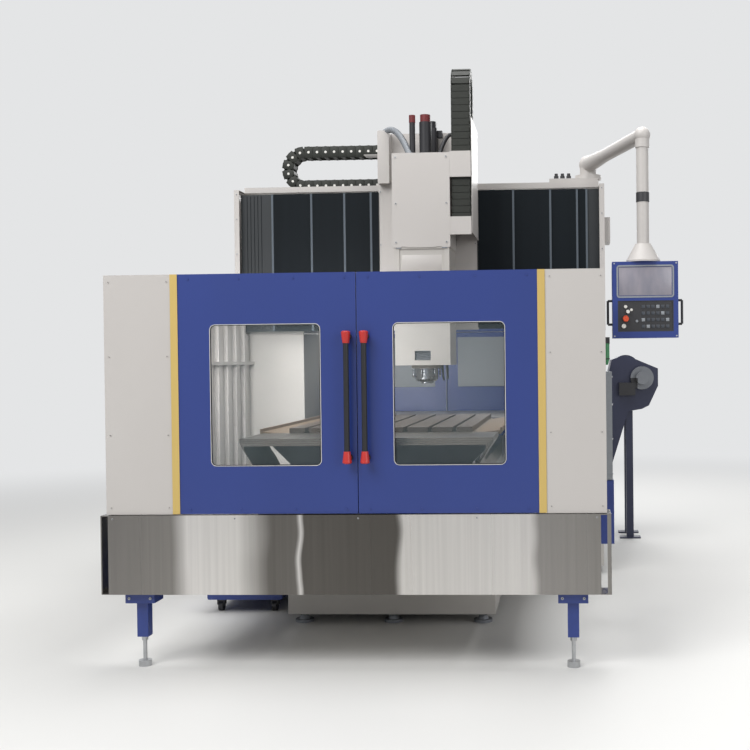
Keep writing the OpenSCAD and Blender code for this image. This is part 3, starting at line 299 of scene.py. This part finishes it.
class Maker:
    """Collects bmesh shapes, each with a finish, and turns them into one piece."""

    def __init__(self):
        self.bm = bmesh.new()
        self.finishes = []
        self.place = Matrix.Identity(4)

    def paint(self, verts, name):
        if name not in self.finishes:
            self.finishes.append(name)
        index = self.finishes.index(name)
        for face in {f for v in verts for f in v.link_faces}:
            face.material_index = index

    def box(self, low, high, name, bevel=0.0):
        low, high = Vector(low), Vector(high)
        matrix = self.place @ Matrix.Translation((low + high) / 2) @ Matrix.Diagonal((*(high - low), 1))
        made = bmesh.ops.create_cube(self.bm, size=1, matrix=matrix)["verts"]
        self.paint(made, name)
        if bevel:
            edges = list({e for v in made for e in v.link_edges})
            cut = bmesh.ops.bevel(self.bm, geom=edges, offset=bevel, offset_type="OFFSET", segments=2,
                                  profile=0.5, affect="EDGES", material=-1)
            self.paint(cut["verts"], name)
        return made

    def rod(self, start, end, radius, name, end_radius=None, sides=24):
        start, end = Vector(start), Vector(end)
        along = end - start
        turn = along.to_track_quat("Z", "Y").to_matrix().to_4x4()
        made = bmesh.ops.create_cone(
            self.bm, cap_ends=True, segments=sides, radius1=radius,
            radius2=radius if end_radius is None else end_radius, depth=along.length,
            matrix=self.place @ Matrix.Translation((start + end) / 2) @ turn)["verts"]
        self.paint(made, name)
        return made

    def ball(self, centre, radius, name, squeeze=(1, 1, 1)):
        made = bmesh.ops.create_uvsphere(self.bm, u_segments=24, v_segments=12, radius=radius,
                                         matrix=Matrix.Translation(centre) @ Matrix.Diagonal((*squeeze, 1)))["verts"]
        self.paint(made, name)
        return made

    def ring(self, centre, axis, radius, thick, name, sides=32):
        """A round ring: a small circle spun about an axis."""
        axis = Vector(axis).normalized()
        side = axis.orthogonal().normalized()
        centre = Vector(centre)
        turn = Matrix((side, axis, side.cross(axis))).transposed().to_4x4()
        circle = bmesh.ops.create_circle(self.bm, segments=10, radius=thick,
                                         matrix=Matrix.Translation(centre + side * radius) @ turn)["verts"]
        edges = list({e for v in circle for e in v.link_edges})
        spun = bmesh.ops.spin(self.bm, geom=circle + edges, cent=centre, axis=axis, angle=math.tau,
                              steps=sides, use_merge=True)
        verts = {v for g in spun["geom_last"] for v in ([g] if isinstance(g, bmesh.types.BMVert) else [])}
        grown = set(circle) | verts
        todo = list(grown)
        while todo:
            for edge in todo.pop().link_edges:
                for v in edge.verts:
                    if v not in grown:
                        grown.add(v)
                        todo.append(v)
        self.paint(grown, name)

    def frame_ring(self, low, high, width, y0, y1, radius, name):
        """A flat rounded frame in the XZ plane, between two Y values."""
        corners = ((high[0], high[1], 0), (low[0], high[1], 90), (low[0], low[1], 180), (high[0], low[1], 270))
        outline = []
        for cx, cz, start in corners:
            px = cx + (1 if start in (0, 270) else -1) * -radius
            pz = cz + (1 if start in (0, 90) else -1) * -radius
            for k in range(7):
                a = math.radians(start + k * 15)
                reach = radius + width
                outline.append(self.bm.verts.new((px + reach * math.cos(a), y0, pz + reach * math.sin(a))))
        face = self.bm.faces.new(outline)
        face.normal_update()
        band = bmesh.ops.inset_individual(self.bm, faces=[face], thickness=width, use_even_offset=True)["faces"]
        bmesh.ops.delete(self.bm, geom=[face], context="FACES_ONLY")
        grown = bmesh.ops.extrude_face_region(self.bm, geom=band)
        moved = [g for g in grown["geom"] if isinstance(g, bmesh.types.BMVert)]
        bmesh.ops.translate(self.bm, verts=moved, vec=(0, y1 - y0, 0))
        self.paint(moved + [v for f in band if f.is_valid for v in f.verts], name)

    def done(self, name, body, bevel=0.0, replaces=(), smooth=True):
        """Makes the piece with its finishes, puts it on its body and hides the CAD parts that it replaces."""
        bmesh.ops.recalc_face_normals(self.bm, faces=self.bm.faces)
        mesh = bpy.data.meshes.new(name)
        self.bm.to_mesh(mesh)
        self.bm.free()
        for used in self.finishes:
            mesh.materials.append(finish(used))
        piece = bpy.data.objects.new(name, mesh)
        bpy.context.scene.collection.objects.link(piece)
        if smooth:
            mesh.shade_smooth()
            mesh.set_sharp_from_angle(angle=math.radians(35))
        if bevel:
            rounding = piece.modifiers.new("rounding", "BEVEL")
            rounding.width = bevel
            rounding.segments = 2
            rounding.limit_method = "ANGLE"
            rounding.angle_limit = math.radians(40)
        if body:
            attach(piece, body)
        if replaces:
            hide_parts(*replaces)
        return piece


class MachineSizes(bpy.types.PropertyGroup):
    """Sizes and colours that a user may change."""

    lamp_power: FloatProperty(name="Lamp power", description="Strength of the main soft lamp", default=620.0,
                              unit="POWER")
    floor_colour: FloatVectorProperty(name="Floor", description="Colour of the plain floor", subtype="COLOR",
                                      size=4, default=linear("#D9D8D5"))
    bolt_radius: FloatProperty(name="Bolt radius", description="Radius of the cover bolts' heads", default=0.007,
                               unit="LENGTH")


class MACHINE_OT_stage(bpy.types.Operator):
    """Camera, lamps, world and floor"""

    bl_idname = "machine.stage"
    bl_label = "Stage"

    def execute(self, context):
        sizes = context.scene.machine_sizes
        camera = bpy.data.objects.new("camera", bpy.data.cameras.new("camera"))
        context.scene.collection.objects.link(camera)
        camera.data.lens = FOCAL_PIXELS / PICTURE_SIDE * SENSOR
        camera.data.sensor_width = SENSOR
        camera.data.shift_x = -(CENTRE_X - PICTURE_SIDE / 2) / PICTURE_SIDE
        turn = (Matrix.Rotation(math.radians(CAMERA_PAN), 4, "Z")
                @ Matrix.Rotation(math.radians(90 + CAMERA_TILT), 4, "X")
                @ Matrix.Rotation(math.radians(CAMERA_ROLL), 4, "Z"))
        camera.matrix_world = Matrix.Translation(CAMERA_PLACE) @ turn
        context.scene.camera = camera
        context.scene.view_settings.view_transform = "Standard"

        # the work lamp lights the inside and is narrow, so that the head and posts above it stay dull
        for name, spot, aim, size, power, spread in (
            ("key_lamp", (-3.5, -6.5, 7.5), (0, 0, 1.2), 5.0, sizes.lamp_power, 180),
            ("top_lamp", (0.5, -0.5, 7.5), (0, -0.4, 1.0), 4.5, 330.0, 180),
            ("fill_lamp", (6.0, -6.5, 3.5), (0, -0.5, 1.4), 4.0, 170.0, 180),
            ("rear_lamp", (2.0, 7.0, 5.5), (0, 0.5, 1.6), 5.0, 320.0, 180),
            ("work_lamp", (-0.95, -1.7, 1.85), (-0.7, 0.6, 1.2), 0.6, 8.0, 76),
        ):
            lamp = bpy.data.objects.new(name, bpy.data.lights.new(name, "AREA"))
            lamp.data.size = size
            lamp.data.energy = power
            lamp.data.spread = math.radians(spread)
            lamp.location = spot
            lamp.visible_camera = False
            lamp.rotation_euler = (Vector(aim) - Vector(spot)).to_track_quat("-Z", "Y").to_euler()
            context.scene.collection.objects.link(lamp)

        world = bpy.data.worlds.new("studio")
        context.scene.world = world
        world.use_nodes = True
        tree = world.node_tree
        back = tree.nodes["Background"]
        back.inputs["Color"].default_value = linear(STUDIO_AIR)
        back.inputs["Strength"].default_value = 0.42
        seen = add_node(tree, "ShaderNodeBackground", {"Color": linear(BACKDROP), "Strength": 1.0})
        both = add_node(tree, "ShaderNodeMixShader", (), {0: seen_directly(tree), 1: back.outputs[0],
                                                        2: seen.outputs[0]})
        tree.links.new(both.outputs[0], tree.nodes["World Output"].inputs["Surface"])

        maker = bmesh.new()
        bmesh.ops.create_grid(maker, x_segments=1, y_segments=1, size=40.0)
        mesh = bpy.data.meshes.new("floor")
        maker.to_mesh(mesh)
        maker.free()
        floor = bpy.data.objects.new("floor", mesh)
        context.scene.collection.objects.link(floor)
        screed = bpy.data.materials.new("sealed_screed")
        screed.use_nodes = True
        ground = screed.node_tree
        shader = ground.nodes["Principled BSDF"]
        shader.inputs["Base Color"].default_value = sizes.floor_colour
        shader.inputs["Roughness"].default_value = 0.6
        place = add_node(ground, "ShaderNodeTexCoord").outputs["Object"]
        reach = add_node(ground, "ShaderNodeVectorMath", {"operation": "LENGTH"}, {0: place})
        fade = add_node(ground, "ShaderNodeMapRange", {"interpolation_type": "SMOOTHSTEP", "From Min": 3.5,
                                                       "From Max": 11.0}, {"Value": reach.outputs["Value"]})
        seen = add_node(ground, "ShaderNodeMath", {"operation": "MULTIPLY"},
                        {0: fade.outputs[0], 1: seen_directly(ground)})
        far = add_node(ground, "ShaderNodeEmission", {"Color": linear(BACKDROP), "Strength": 1.0})
        both = add_node(ground, "ShaderNodeMixShader", (), {0: seen.outputs[0], 1: shader.outputs[0],
                                                          2: far.outputs[0]})
        ground.links.new(both.outputs[0], ground.nodes["Material Output"].inputs["Surface"])
        mesh.materials.append(screed)
        return {"FINISHED"}


class MACHINE_OT_finishes(bpy.types.Operator):
    """Finishes of the CAD parts"""

    bl_idname = "machine.finishes"
    bl_label = "CAD finishes"

    def execute(self, context):
        plain = {
            "enamel_on_casting": ("bed", "columns", "beam"),
            "white_powder_coat": ("front_panels", "head_cover", "saddle_covers", "pendant_arm"),
            "ground_steel": ("linear_rails", "table_carriages", "saddle_carriages", "x_screw", "y_screw", "z_screw",
                             "spindle", "auger_left", "auger_right"),
            "way_cover_steel": ("way_cover_ends", "way_cover_table_ends", "way_cover_front_1", "way_cover_front_2",
                                "way_cover_rear_1", "way_cover_rear_2"),
            "raw_iron": ("chip_troughs",),
            "black_plastic": ("x_chain", "z_chain"),
            "safety_glass": ("window_left", "window_right"),
            "orange_plastic": ("emergency_stop",),
            "pale_plastic": ("start_button",),
        }
        for name, nodes in plain.items():
            for node in nodes:
                dress(node, finish(name))
        zoned = {
            "machine_feet": ("raw_iron", [((-1.3, -2.0, 0.155), (1.3, -1.84, 0.4), "blue_powder_coat"),
                                          ((-1.3, -2.0, -1), (1.3, -1.84, 0.155), "zinc_fastener")]),
            "beam_cover_frame": ("white_powder_coat", [
                ((-1.2945, 0.335, 1.78), (1.2945, 0.349, 2.785), "slate_cover_plate"),
                ((0.9, 0.4, 2.875), (1.15, 0.6, 3.0), "black_plastic")]),
            "side_walls": ("white_powder_coat", [((-BIG, 1.949, 0), (BIG, 1.991, 3), "blue_powder_coat")]),
            "coolant_tank": ("blue_powder_coat", [((-BIG, -BIG, -1), (BIG, BIG, 0.0835), "black_plastic"),
                                                  ((-1.06, 0.14, 0.1), (-0.88, 0.3, 0.5), "raw_iron")]),
            "chip_conveyor": ("dark_blue_powder_coat", [((1.58, 1.9, 1.29), (1.82, 2.0118, 1.51), "raw_iron"),
                                                       ((1.45, 1.9, 1.2), (1.66, 2.0118, 1.4), "black_plastic")]),
            "electrical_cabinet": ("white_powder_coat", [((-BIG, -BIG, -1), (BIG, BIG, 0.1295), "black_plastic"),
                                                         ((-1.5, 0.15, 0.19), (-1.355, 1.05, 1.95), "grey_plastic")]),
            "cabinet_door": ("white_powder_coat", [((-1.82, 1.02, 0.99), (-1.7845, 1.07, 1.17), "black_plastic")]),
            "service_units": ("grey_plastic", [((1.2, -1.16, 0.49), (1.33, -0.89, 0.863), "blue_powder_coat"),
                                               ((1.2, -1.15, 1.52), (1.33, -0.9, 1.7), "green_plastic"),
                                               ((1.2, -1.15, 1.654), (1.33, -0.9, 1.691), "black_plastic")]),
            "feed_motors": ("black_plastic", [((-BIG, -BIG, 0), (0.984, 1.385, 5), "raw_iron")]),
            "table": ("machined_table_iron", [((-BIG, -BIG, 0), (BIG, BIG, 1.15), "raw_iron"),
                                              ((-0.8, -2, 1.15), (-0.5205, 2, 1.1895), "greased_gutter"),
                                              ((0.5205, -2, 1.15), (0.8, 2, 1.1895), "greased_gutter")]),
            "saddle": ("enamel_on_casting", [((-0.08, 0.21, 1.7), (0.26, 0.2598, 3), "ground_steel")]),
            "z_motor": ("black_plastic", [((-BIG, -BIG, 2.9), (BIG, BIG, 3.0095), "raw_iron")]),
            "head": ("enamel_on_casting", [((-BIG, 0.2001, 1.8), (BIG, 0.3, 2.6), "ground_steel"),
                                           ((0.036, -0.2, 1.569), (0.144, -0.15, 1.633), "grey_plastic")]),
            "spindle_cartridge": ("ground_steel", [((-BIG, -BIG, 1.5135), (BIG, BIG, 1.6), "enamel_on_casting")]),
            "drawbar_booster": ("black_plastic", [((-BIG, -BIG, 3.1965), (BIG, BIG, 4), "faded_red_cap")]),
            "rear_door_left": ("blue_powder_coat", [((-0.72, 1.9, 1.34), (-0.1, 1.9848, 1.77), "grey_plastic")]),
            "rear_door_right": ("blue_powder_coat", [((0.1, 1.9, 1.34), (0.72, 1.9848, 1.77), "grey_plastic")]),
            "door_left": ("blue_powder_coat", [((-0.96, -2.01, 0.7), (-0.9131, -1.97, 2.1), "yellow_edge_paint")]),
            "door_right": ("blue_powder_coat", [((0.9131, -2.01, 0.7), (0.96, -1.97, 2.1), "yellow_edge_paint")]),
            "pendant": ("blue_powder_coat", [
                ((-BIG, -BIG, 2.1775), (BIG, BIG, 3), "white_powder_coat"),
                ((1.4, -0.6, 2.559), (1.7, -0.3, 2.621), "black_plastic"),
                ((1.2, -0.54, 1.7), (1.347, -0.4, 2.0), "black_plastic"),
                ((1.761, -0.54, 1.7), (1.9, -0.4, 2.0), "black_plastic"),
                ((1.38, -0.6, 1.735), (1.73, -0.5508, 1.93), "black_plastic")]),
        }
        for side in ("left", "right"):
            for n in range(1, 5):
                low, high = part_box(f"cover_{side}_{n}")
                strip = ((low.x - 0.001, low.x + 0.0145) if side == "left" else (high.x - 0.0145, high.x + 0.001))
                zoned[f"cover_{side}_{n}"] = ("slate_cover_plate", [
                    ((strip[0], low.y - 0.001, 0), (strip[1], low.y + 0.0021, 5), "wiper_strip")])
        for node, (base, zones) in zoned.items():
            dress(node, make_finish("painted_" + node, base, zones))
        # the apron's stainless carries painted reflections in its base colour
        dress("apron", make_painted_reflection_bands("stainless_painted_reflections", PAINTED_REFLECTION_GREYS))
        return {"FINISHED"}


class MACHINE_OT_doors(bpy.types.Operator):
    """Window seals, bolts and handles of the front doors"""

    bl_idname = "machine.doors"
    bl_label = "Door pieces"

    def execute(self, context):
        bolt = context.scene.machine_sizes.bolt_radius
        for side, s in (("left", -1), ("right", 1)):
            low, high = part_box(f"window_{side}")
            hidden = Vector((0.014, 0, 0.014))  # the pane's edge behind the door's sheet
            low, high = low + hidden, high - hidden
            seal = Maker()
            rubber, rim = 0.004, 0.0025
            seal.frame_ring((low.x, low.z), (high.x, high.z), rubber, DOOR_FACE - 0.0015, DOOR_FACE + 0.005, 0.022,
                            "seal_rubber")
            seal.frame_ring((low.x - rubber, low.z - rubber), (high.x + rubber, high.z + rubber), rim,
                            DOOR_FACE - 0.0025, DOOR_FACE + 0.002, 0.026, "pale_plastic")
            seal.done(f"window_seal_{side}", f"door_{side}")

            trim = Maker()
            for z in (0.82, 1.99):
                for x in (0.06, 0.32, 0.6, 0.86):
                    trim.rod((s * x, DOOR_FACE, z), (s * x, DOOR_FACE - 0.0035, z), bolt * 0.8, "blue_powder_coat",
                             sides=12)
            trim.done(f"door_trim_{side}", f"door_{side}")

            grip = Maker()
            low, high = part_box(f"handle_{side}")
            x, y = s * 0.045, -2.046
            z0, z1 = low.z + 0.03, high.z - 0.03
            tube, cap, cap_tip, washer = 0.014, 0.0235, 0.0165, 0.021
            grip.rod((x, y, z0 + 0.03), (x, y, z1 - 0.03), tube, "black_plastic", sides=32)
            for z, way in ((z0, 1), (z1, -1)):
                # a red cap, wide and domed at its outer end, on a foot that stands on the door
                grip.rod((x, y, z - way * 0.022), (x, y, z + way * 0.034), cap, "red_plastic", cap_tip, 32)
                grip.ball((x, y, z - way * 0.022), cap - 0.0003, "red_plastic", (1, 1, 0.3))
                grip.rod((x, y, z), (x, DOOR_FACE, z), tube, "red_plastic", tube + 0.0008)
                grip.rod((x, DOOR_FACE - 0.006, z), (x, DOOR_FACE, z), washer, "black_plastic")
            grip.done(f"grip_{side}", f"door_{side}", 0.0015, (f"handle_{side}",))
        return {"FINISHED"}


def chain_path(x0, lower, bend, upper, pitch, z, height, radius):
    """Places and directions of a rolled chain's links, in its own plane, from the fixed end; it takes their counts."""
    places = []
    for i in reversed(range(lower)):
        places.append((x0 + (i + 0.5) * pitch, z + height / 2, 0.0))
    turn = radius + height / 2
    for i in range(bend):
        a = math.pi * (i + 0.5) / bend
        places.append((x0 - turn * math.sin(a), z + height / 2 + turn - turn * math.cos(a), math.pi - a))
    for i in range(upper):
        places.append((x0 + (i + 0.5) * pitch, z + height / 2 + 2 * turn, 0.0))
    return places


class MACHINE_OT_chains(bpy.types.Operator):
    """Cable chains with their links, covers and pins"""

    bl_idname = "machine.chains"
    bl_label = "Cable chains"

    def execute(self, context):
        def build(places, place, pitch, height, near, far, lid, name):
            """One run of links between two side faces; lid is the half length of a link's cover in pitches."""
            maker = Maker()
            plate, pin = 0.008, 0.009
            for u, v, a in places:
                maker.place = place @ Matrix.Translation((u, 0, v)) @ Matrix.Rotation(-a, 4, "Y")
                for y0, y1 in ((near, near + plate), (far - plate, far)):
                    maker.box((-pitch * 0.5, y0, -height * 0.47), (pitch * 0.5, y1, height * 0.47),
                              "chain_plastic", 0.003)
                    maker.rod((0, y0 + 0.001, 0), (0, y1 - 0.001, 0), height * 0.49, "chain_plastic", sides=20)
                for z in (-height * 0.46, height * 0.38):
                    maker.box((-pitch * lid, near + plate, z), (pitch * lid, far - plate, z + height * 0.08),
                              "chain_plastic")
                for y0, y1 in ((near - 0.0015, near + 0.002), (far - 0.002, far + 0.0015)):
                    maker.rod((0, y0, 0), (0, y1, 0), pin, "pale_plastic", sides=14)
            return maker.done(name, None)

        # a chain's bend travels half as far as its moving end, and its two runs give and take the rest
        pitch, height, still, turning, moving = 0.063, 0.088, 11, 6, 9
        places = chain_path(-0.85, still, turning, moving, pitch, 2.81, height, 0.079)
        runs = {"lower": (places[:still], (-0.157, 0.5, 2.85), (-1.543, 0.5, 2.85)),
                "bend": (places[still:-moving], (-0.9, 0.5 - FAR, 3.0), (-0.9, 0.5 + FAR, 3.0)),
                "upper": (places[-moving:], (-1.417, 0.5, 3.1), (-0.283, 0.5, 3.1))}
        for name, (links, start, end) in runs.items():
            chain = build(links, Matrix.Identity(4), pitch, height, 0.4375, 0.5545, 0.2, f"saddle_chain_{name}")
            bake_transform(chain)
            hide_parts("x_chain")

        # the upright chain is laid out along X and Z, then turned so that its bend is on top
        pitch, height, still, turning, moving = 0.045, 0.07, 12, 7, 20
        places = chain_path(0.0, still, turning, moving, pitch, 0.0, height, 0.065)
        stand = Matrix(((0, -1, 0, 0.424), (0, 0, -1, 0.09), (-1, 0, 0, 3.411), (0, 0, 0, 1)))
        runs = {"fixed": (places[:still], (0.4, 0.06, 2.871), (0.4, 0.06, 3.951)),
                "bend": (places[still:-moving], (0.4 - FAR, 0.0, 3.4), (0.4 + FAR, 0.0, 3.4)),
                "moving": (places[-moving:], (0.4, -0.15, 4.311), (0.4, -0.15, 2.511))}
        for name, (links, start, end) in runs.items():
            chain = build(links, stand, pitch, height, 0.0015, 0.1285, 0.47, f"head_chain_{name}")
            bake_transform(chain)
            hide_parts("z_chain")
        return {"FINISHED"}


class MACHINE_OT_pendant(bpy.types.Operator):
    """Screen, keys, knobs and rim of the control pendant"""

    bl_idname = "machine.pendant"
    bl_label = "Pendant pieces"

    def execute(self, context):
        maker = Maker()
        x0, z0, front = 1.3475, 1.695, -0.555  # lower left corner of the pendant's face, and its Y
        maker.frame_ring((x0 + 0.036, 1.959), (x0 + 0.377, 2.145), 0.01, front - 0.002, front + 0.006, 0.008,
                         "grey_plastic")
        maker.box((x0 + 0.04, front + 0.0035, 1.963), (x0 + 0.373, front + 0.005, 2.141), "film_on_screen", 0.0005)
        columns, rows, key = 6, 4, 0.021
        for i in range(columns):
            for j in range(rows):
                x, z = x0 + 0.182 + i * 0.0305, z0 + 0.062 + j * 0.0415
                # a few paler keys are scattered among the dark ones
                maker.box((x, front - 0.0005, z), (x + key, front + 0.005, z + key),
                          "grey_plastic" if (i + j) % 5 == 1 else "key_plastic", 0.0015)
        maker.ring((x0 + 0.082, front + 0.003, z0 + 0.122), (0, 1, 0), 0.0165, 0.0028, "yellow_edge_paint")
        for x, z, r, name in ((0.082, 0.198, 0.011, "pale_plastic"), (0.118, 0.178, 0.009, "pale_plastic"),
                              (0.07, 0.075, 0.015, "pale_plastic"), (0.152, 0.106, 0.009, "grey_plastic")):
            maker.rod((x0 + x, front + 0.006, z0 + z), (x0 + x, front - 0.006, z0 + z), r, name, r * 0.86)
        for z in (z0 + 0.012, z0 + 0.47):
            for x in (0.012, 0.401):
                maker.rod((x0 + x, front + 0.001, z), (x0 + x, front - 0.0015, z), 0.005, "zinc_fastener", sides=12)
        maker.done("pendant_panel", "pendant")
        return {"FINISHED"}


def bolt_row(maker, points, normal, radius, name="zinc_fastener"):
    """Hexagon socket bolt heads at some points of a face."""
    step = Vector(normal)
    for p in points:
        p = Vector(p)
        maker.rod(p - step * 0.001, p + step * radius * 0.7, radius, name, radius * 0.93, 12)
        maker.rod(p + step * radius * 0.66, p + step * radius * 0.72, radius * 0.5, "seal_rubber", sides=6)


class MACHINE_OT_head(bpy.types.Operator):
    """Bolts, catches, nozzles and hoses of the saddle and head"""

    bl_idname = "machine.head"
    bl_label = "Head pieces"

    def execute(self, context):
        maker = Maker()
        r = context.scene.machine_sizes.bolt_radius
        bolt_row(maker, [(x, -0.2, z) for x in (-0.08, 0.26) for z in (2.36, 2.62, 2.93)], (0, -1, 0), r)
        maker.box((-0.045, -0.187, 2.175), (0.225, -0.1785, 2.275), "white_powder_coat", 0.002)
        edge = 2.331  # the lower edge of the head cover's raised plate
        for x in (-0.065, 0.245):
            # the cover's catches, which read as two short dark strokes under its lower corners
            maker.box((x - 0.018, -0.2, edge - 0.013), (x + 0.018, -0.19, edge - 0.004), "grey_plastic", 0.001)
        for x in (-0.03, 0.21):
            for z in (1.72, 2.05):
                maker.rod((x, -0.195, z), (x, -0.1935, z), 0.014, "enamel_on_casting", sides=20)
        maker.rod((0.205, -0.06, 1.535), (0.215, -0.07, 1.43), 0.009, "black_plastic", 0.006)
        maker.rod((0.235, -0.03, 1.535), (0.24, -0.045, 1.44), 0.009, "black_plastic", 0.006)
        maker.done("head_fittings", "head")

        hose = Maker()
        for start, end, top, radius, name in (((-0.23, 0.29, 3.2), (0.0, -0.05, 2.96), 3.24, 0.02, "grey_plastic"),
                                              ((0.3, 0.2, 3.12), (0.2, -0.06, 2.96), 3.16, 0.014, "black_plastic")):
            start, end = Vector(start), Vector(end)
            points = []
            steps = 40
            for i in range(steps + 1):
                t = i / steps
                p = start.lerp(end, t)
                p.z += (top - max(start.z, end.z)) * 8 * t * (1 - t)
                points.append(p)
            for a, b in zip(points, points[1:]):
                hose.rod(a, b, radius, name, sides=16)
                if radius > 0.015:
                    hose.ring((a + b) / 2, b - a, radius, 0.0025, name, 16)
        pipe = hose.done("head_hoses", None)
        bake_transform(pipe)

        wiper = Maker()
        bolt_row(wiper, [(x, 0.3017, z) for x in (-0.27, -0.12, 0.255, 0.41) for z in (2.0, 2.4, 2.78)], (0, -1, 0),
                 r * 0.8)
        wiper.box((-0.284, 0.2995, 1.8), (-0.2795, 0.3017, 2.775), "seal_rubber")
        wiper.box((0.4225, 0.2995, 1.8), (0.427, 0.3017, 2.775), "seal_rubber")
        wiper.done("saddle_fittings", "saddle")
        return {"FINISHED"}


class MACHINE_OT_body(bpy.types.Operator):
    """Bolts, seams and fittings of the fixed covers"""

    bl_idname = "machine.body"
    bl_label = "Body fittings"

    def execute(self, context):
        r = context.scene.machine_sizes.bolt_radius
        maker = Maker()
        for s in (-1, 1):
            bolt_row(maker, [(s * 1.313, 0.294, z) for z in (1.85, 2.1, 2.35, 2.6, 2.78)], (0, -1, 0), r * 0.8)
        for x0, x1 in ((-1.27, -0.97), (0.975, 1.23)):
            bolt_row(maker, [(x, DOOR_FACE, z) for x in (x0, x1) for z in (0.83, 1.2, 1.6, 1.98)], (0, -1, 0), r * 0.7,
                     "white_powder_coat")
        for x in (-1.26, -0.63, 0.0, 0.6, 1.2):
            bolt_row(maker, [(x, -2.012, 0.775)], (0, -1, 0), r * 0.7)
        for i in range(5):
            # seams of the nested plates' edges at the left post
            x = -1.25 + i * 0.026
            maker.box((x, 0.3365, 1.8), (x + 0.002, 0.34, 2.77), "slate_cover_plate")
        for y in (-1.13, -0.94):
            for z in (0.9, 1.1, 1.3, 1.46):
                bolt_row(maker, [(1.315, y, z)], (1, 0, 0), r * 0.8)
        for i in range(4):
            maker.ring((1.285, -1.11 + i * 0.05, 1.565), (0, 0, 1), 0.019, 0.003, "black_plastic", 20)
        for x in (-1.142, 1.078):
            bolt_row(maker, [(x + dx, -1.971, 0.36) for dx in (-0.055, 0.055)], (0, -1, 0), r)
        maker.done("cover_fittings", "frame")
        return {"FINISHED"}


OPERATORS = (MACHINE_OT_stage, MACHINE_OT_finishes, MACHINE_OT_doors, MACHINE_OT_chains, MACHINE_OT_pendant,
             MACHINE_OT_head, MACHINE_OT_body)


class MACHINE_PT_panel(bpy.types.Panel):
    """Lists the machine's operators and sizes"""

    bl_idname = "MACHINE_PT_panel"
    bl_label = "Machining centre"
    bl_space_type = "VIEW_3D"
    bl_region_type = "UI"
    bl_category = "Machine"

    def draw(self, context):
        for name in ("lamp_power", "floor_colour", "bolt_radius"):
            self.layout.prop(context.scene.machine_sizes, name)
        for operator in OPERATORS:
            self.layout.operator(operator.bl_idname)


CLASSES = (MachineSizes, *OPERATORS, MACHINE_PT_panel)


def register():
    for item in CLASSES:
        bpy.utils.register_class(item)
    bpy.types.Scene.machine_sizes = PointerProperty(type=MachineSizes)


def unregister():
    del bpy.types.Scene.machine_sizes
    for item in reversed(CLASSES):
        bpy.utils.unregister_class(item)


def main():
    """Makes every piece in order."""
    register()
    for operator in OPERATORS:
        group, name = operator.bl_idname.split(".")
        getattr(getattr(bpy.ops, group), name)()


if __name__ == "__main__":
    main()
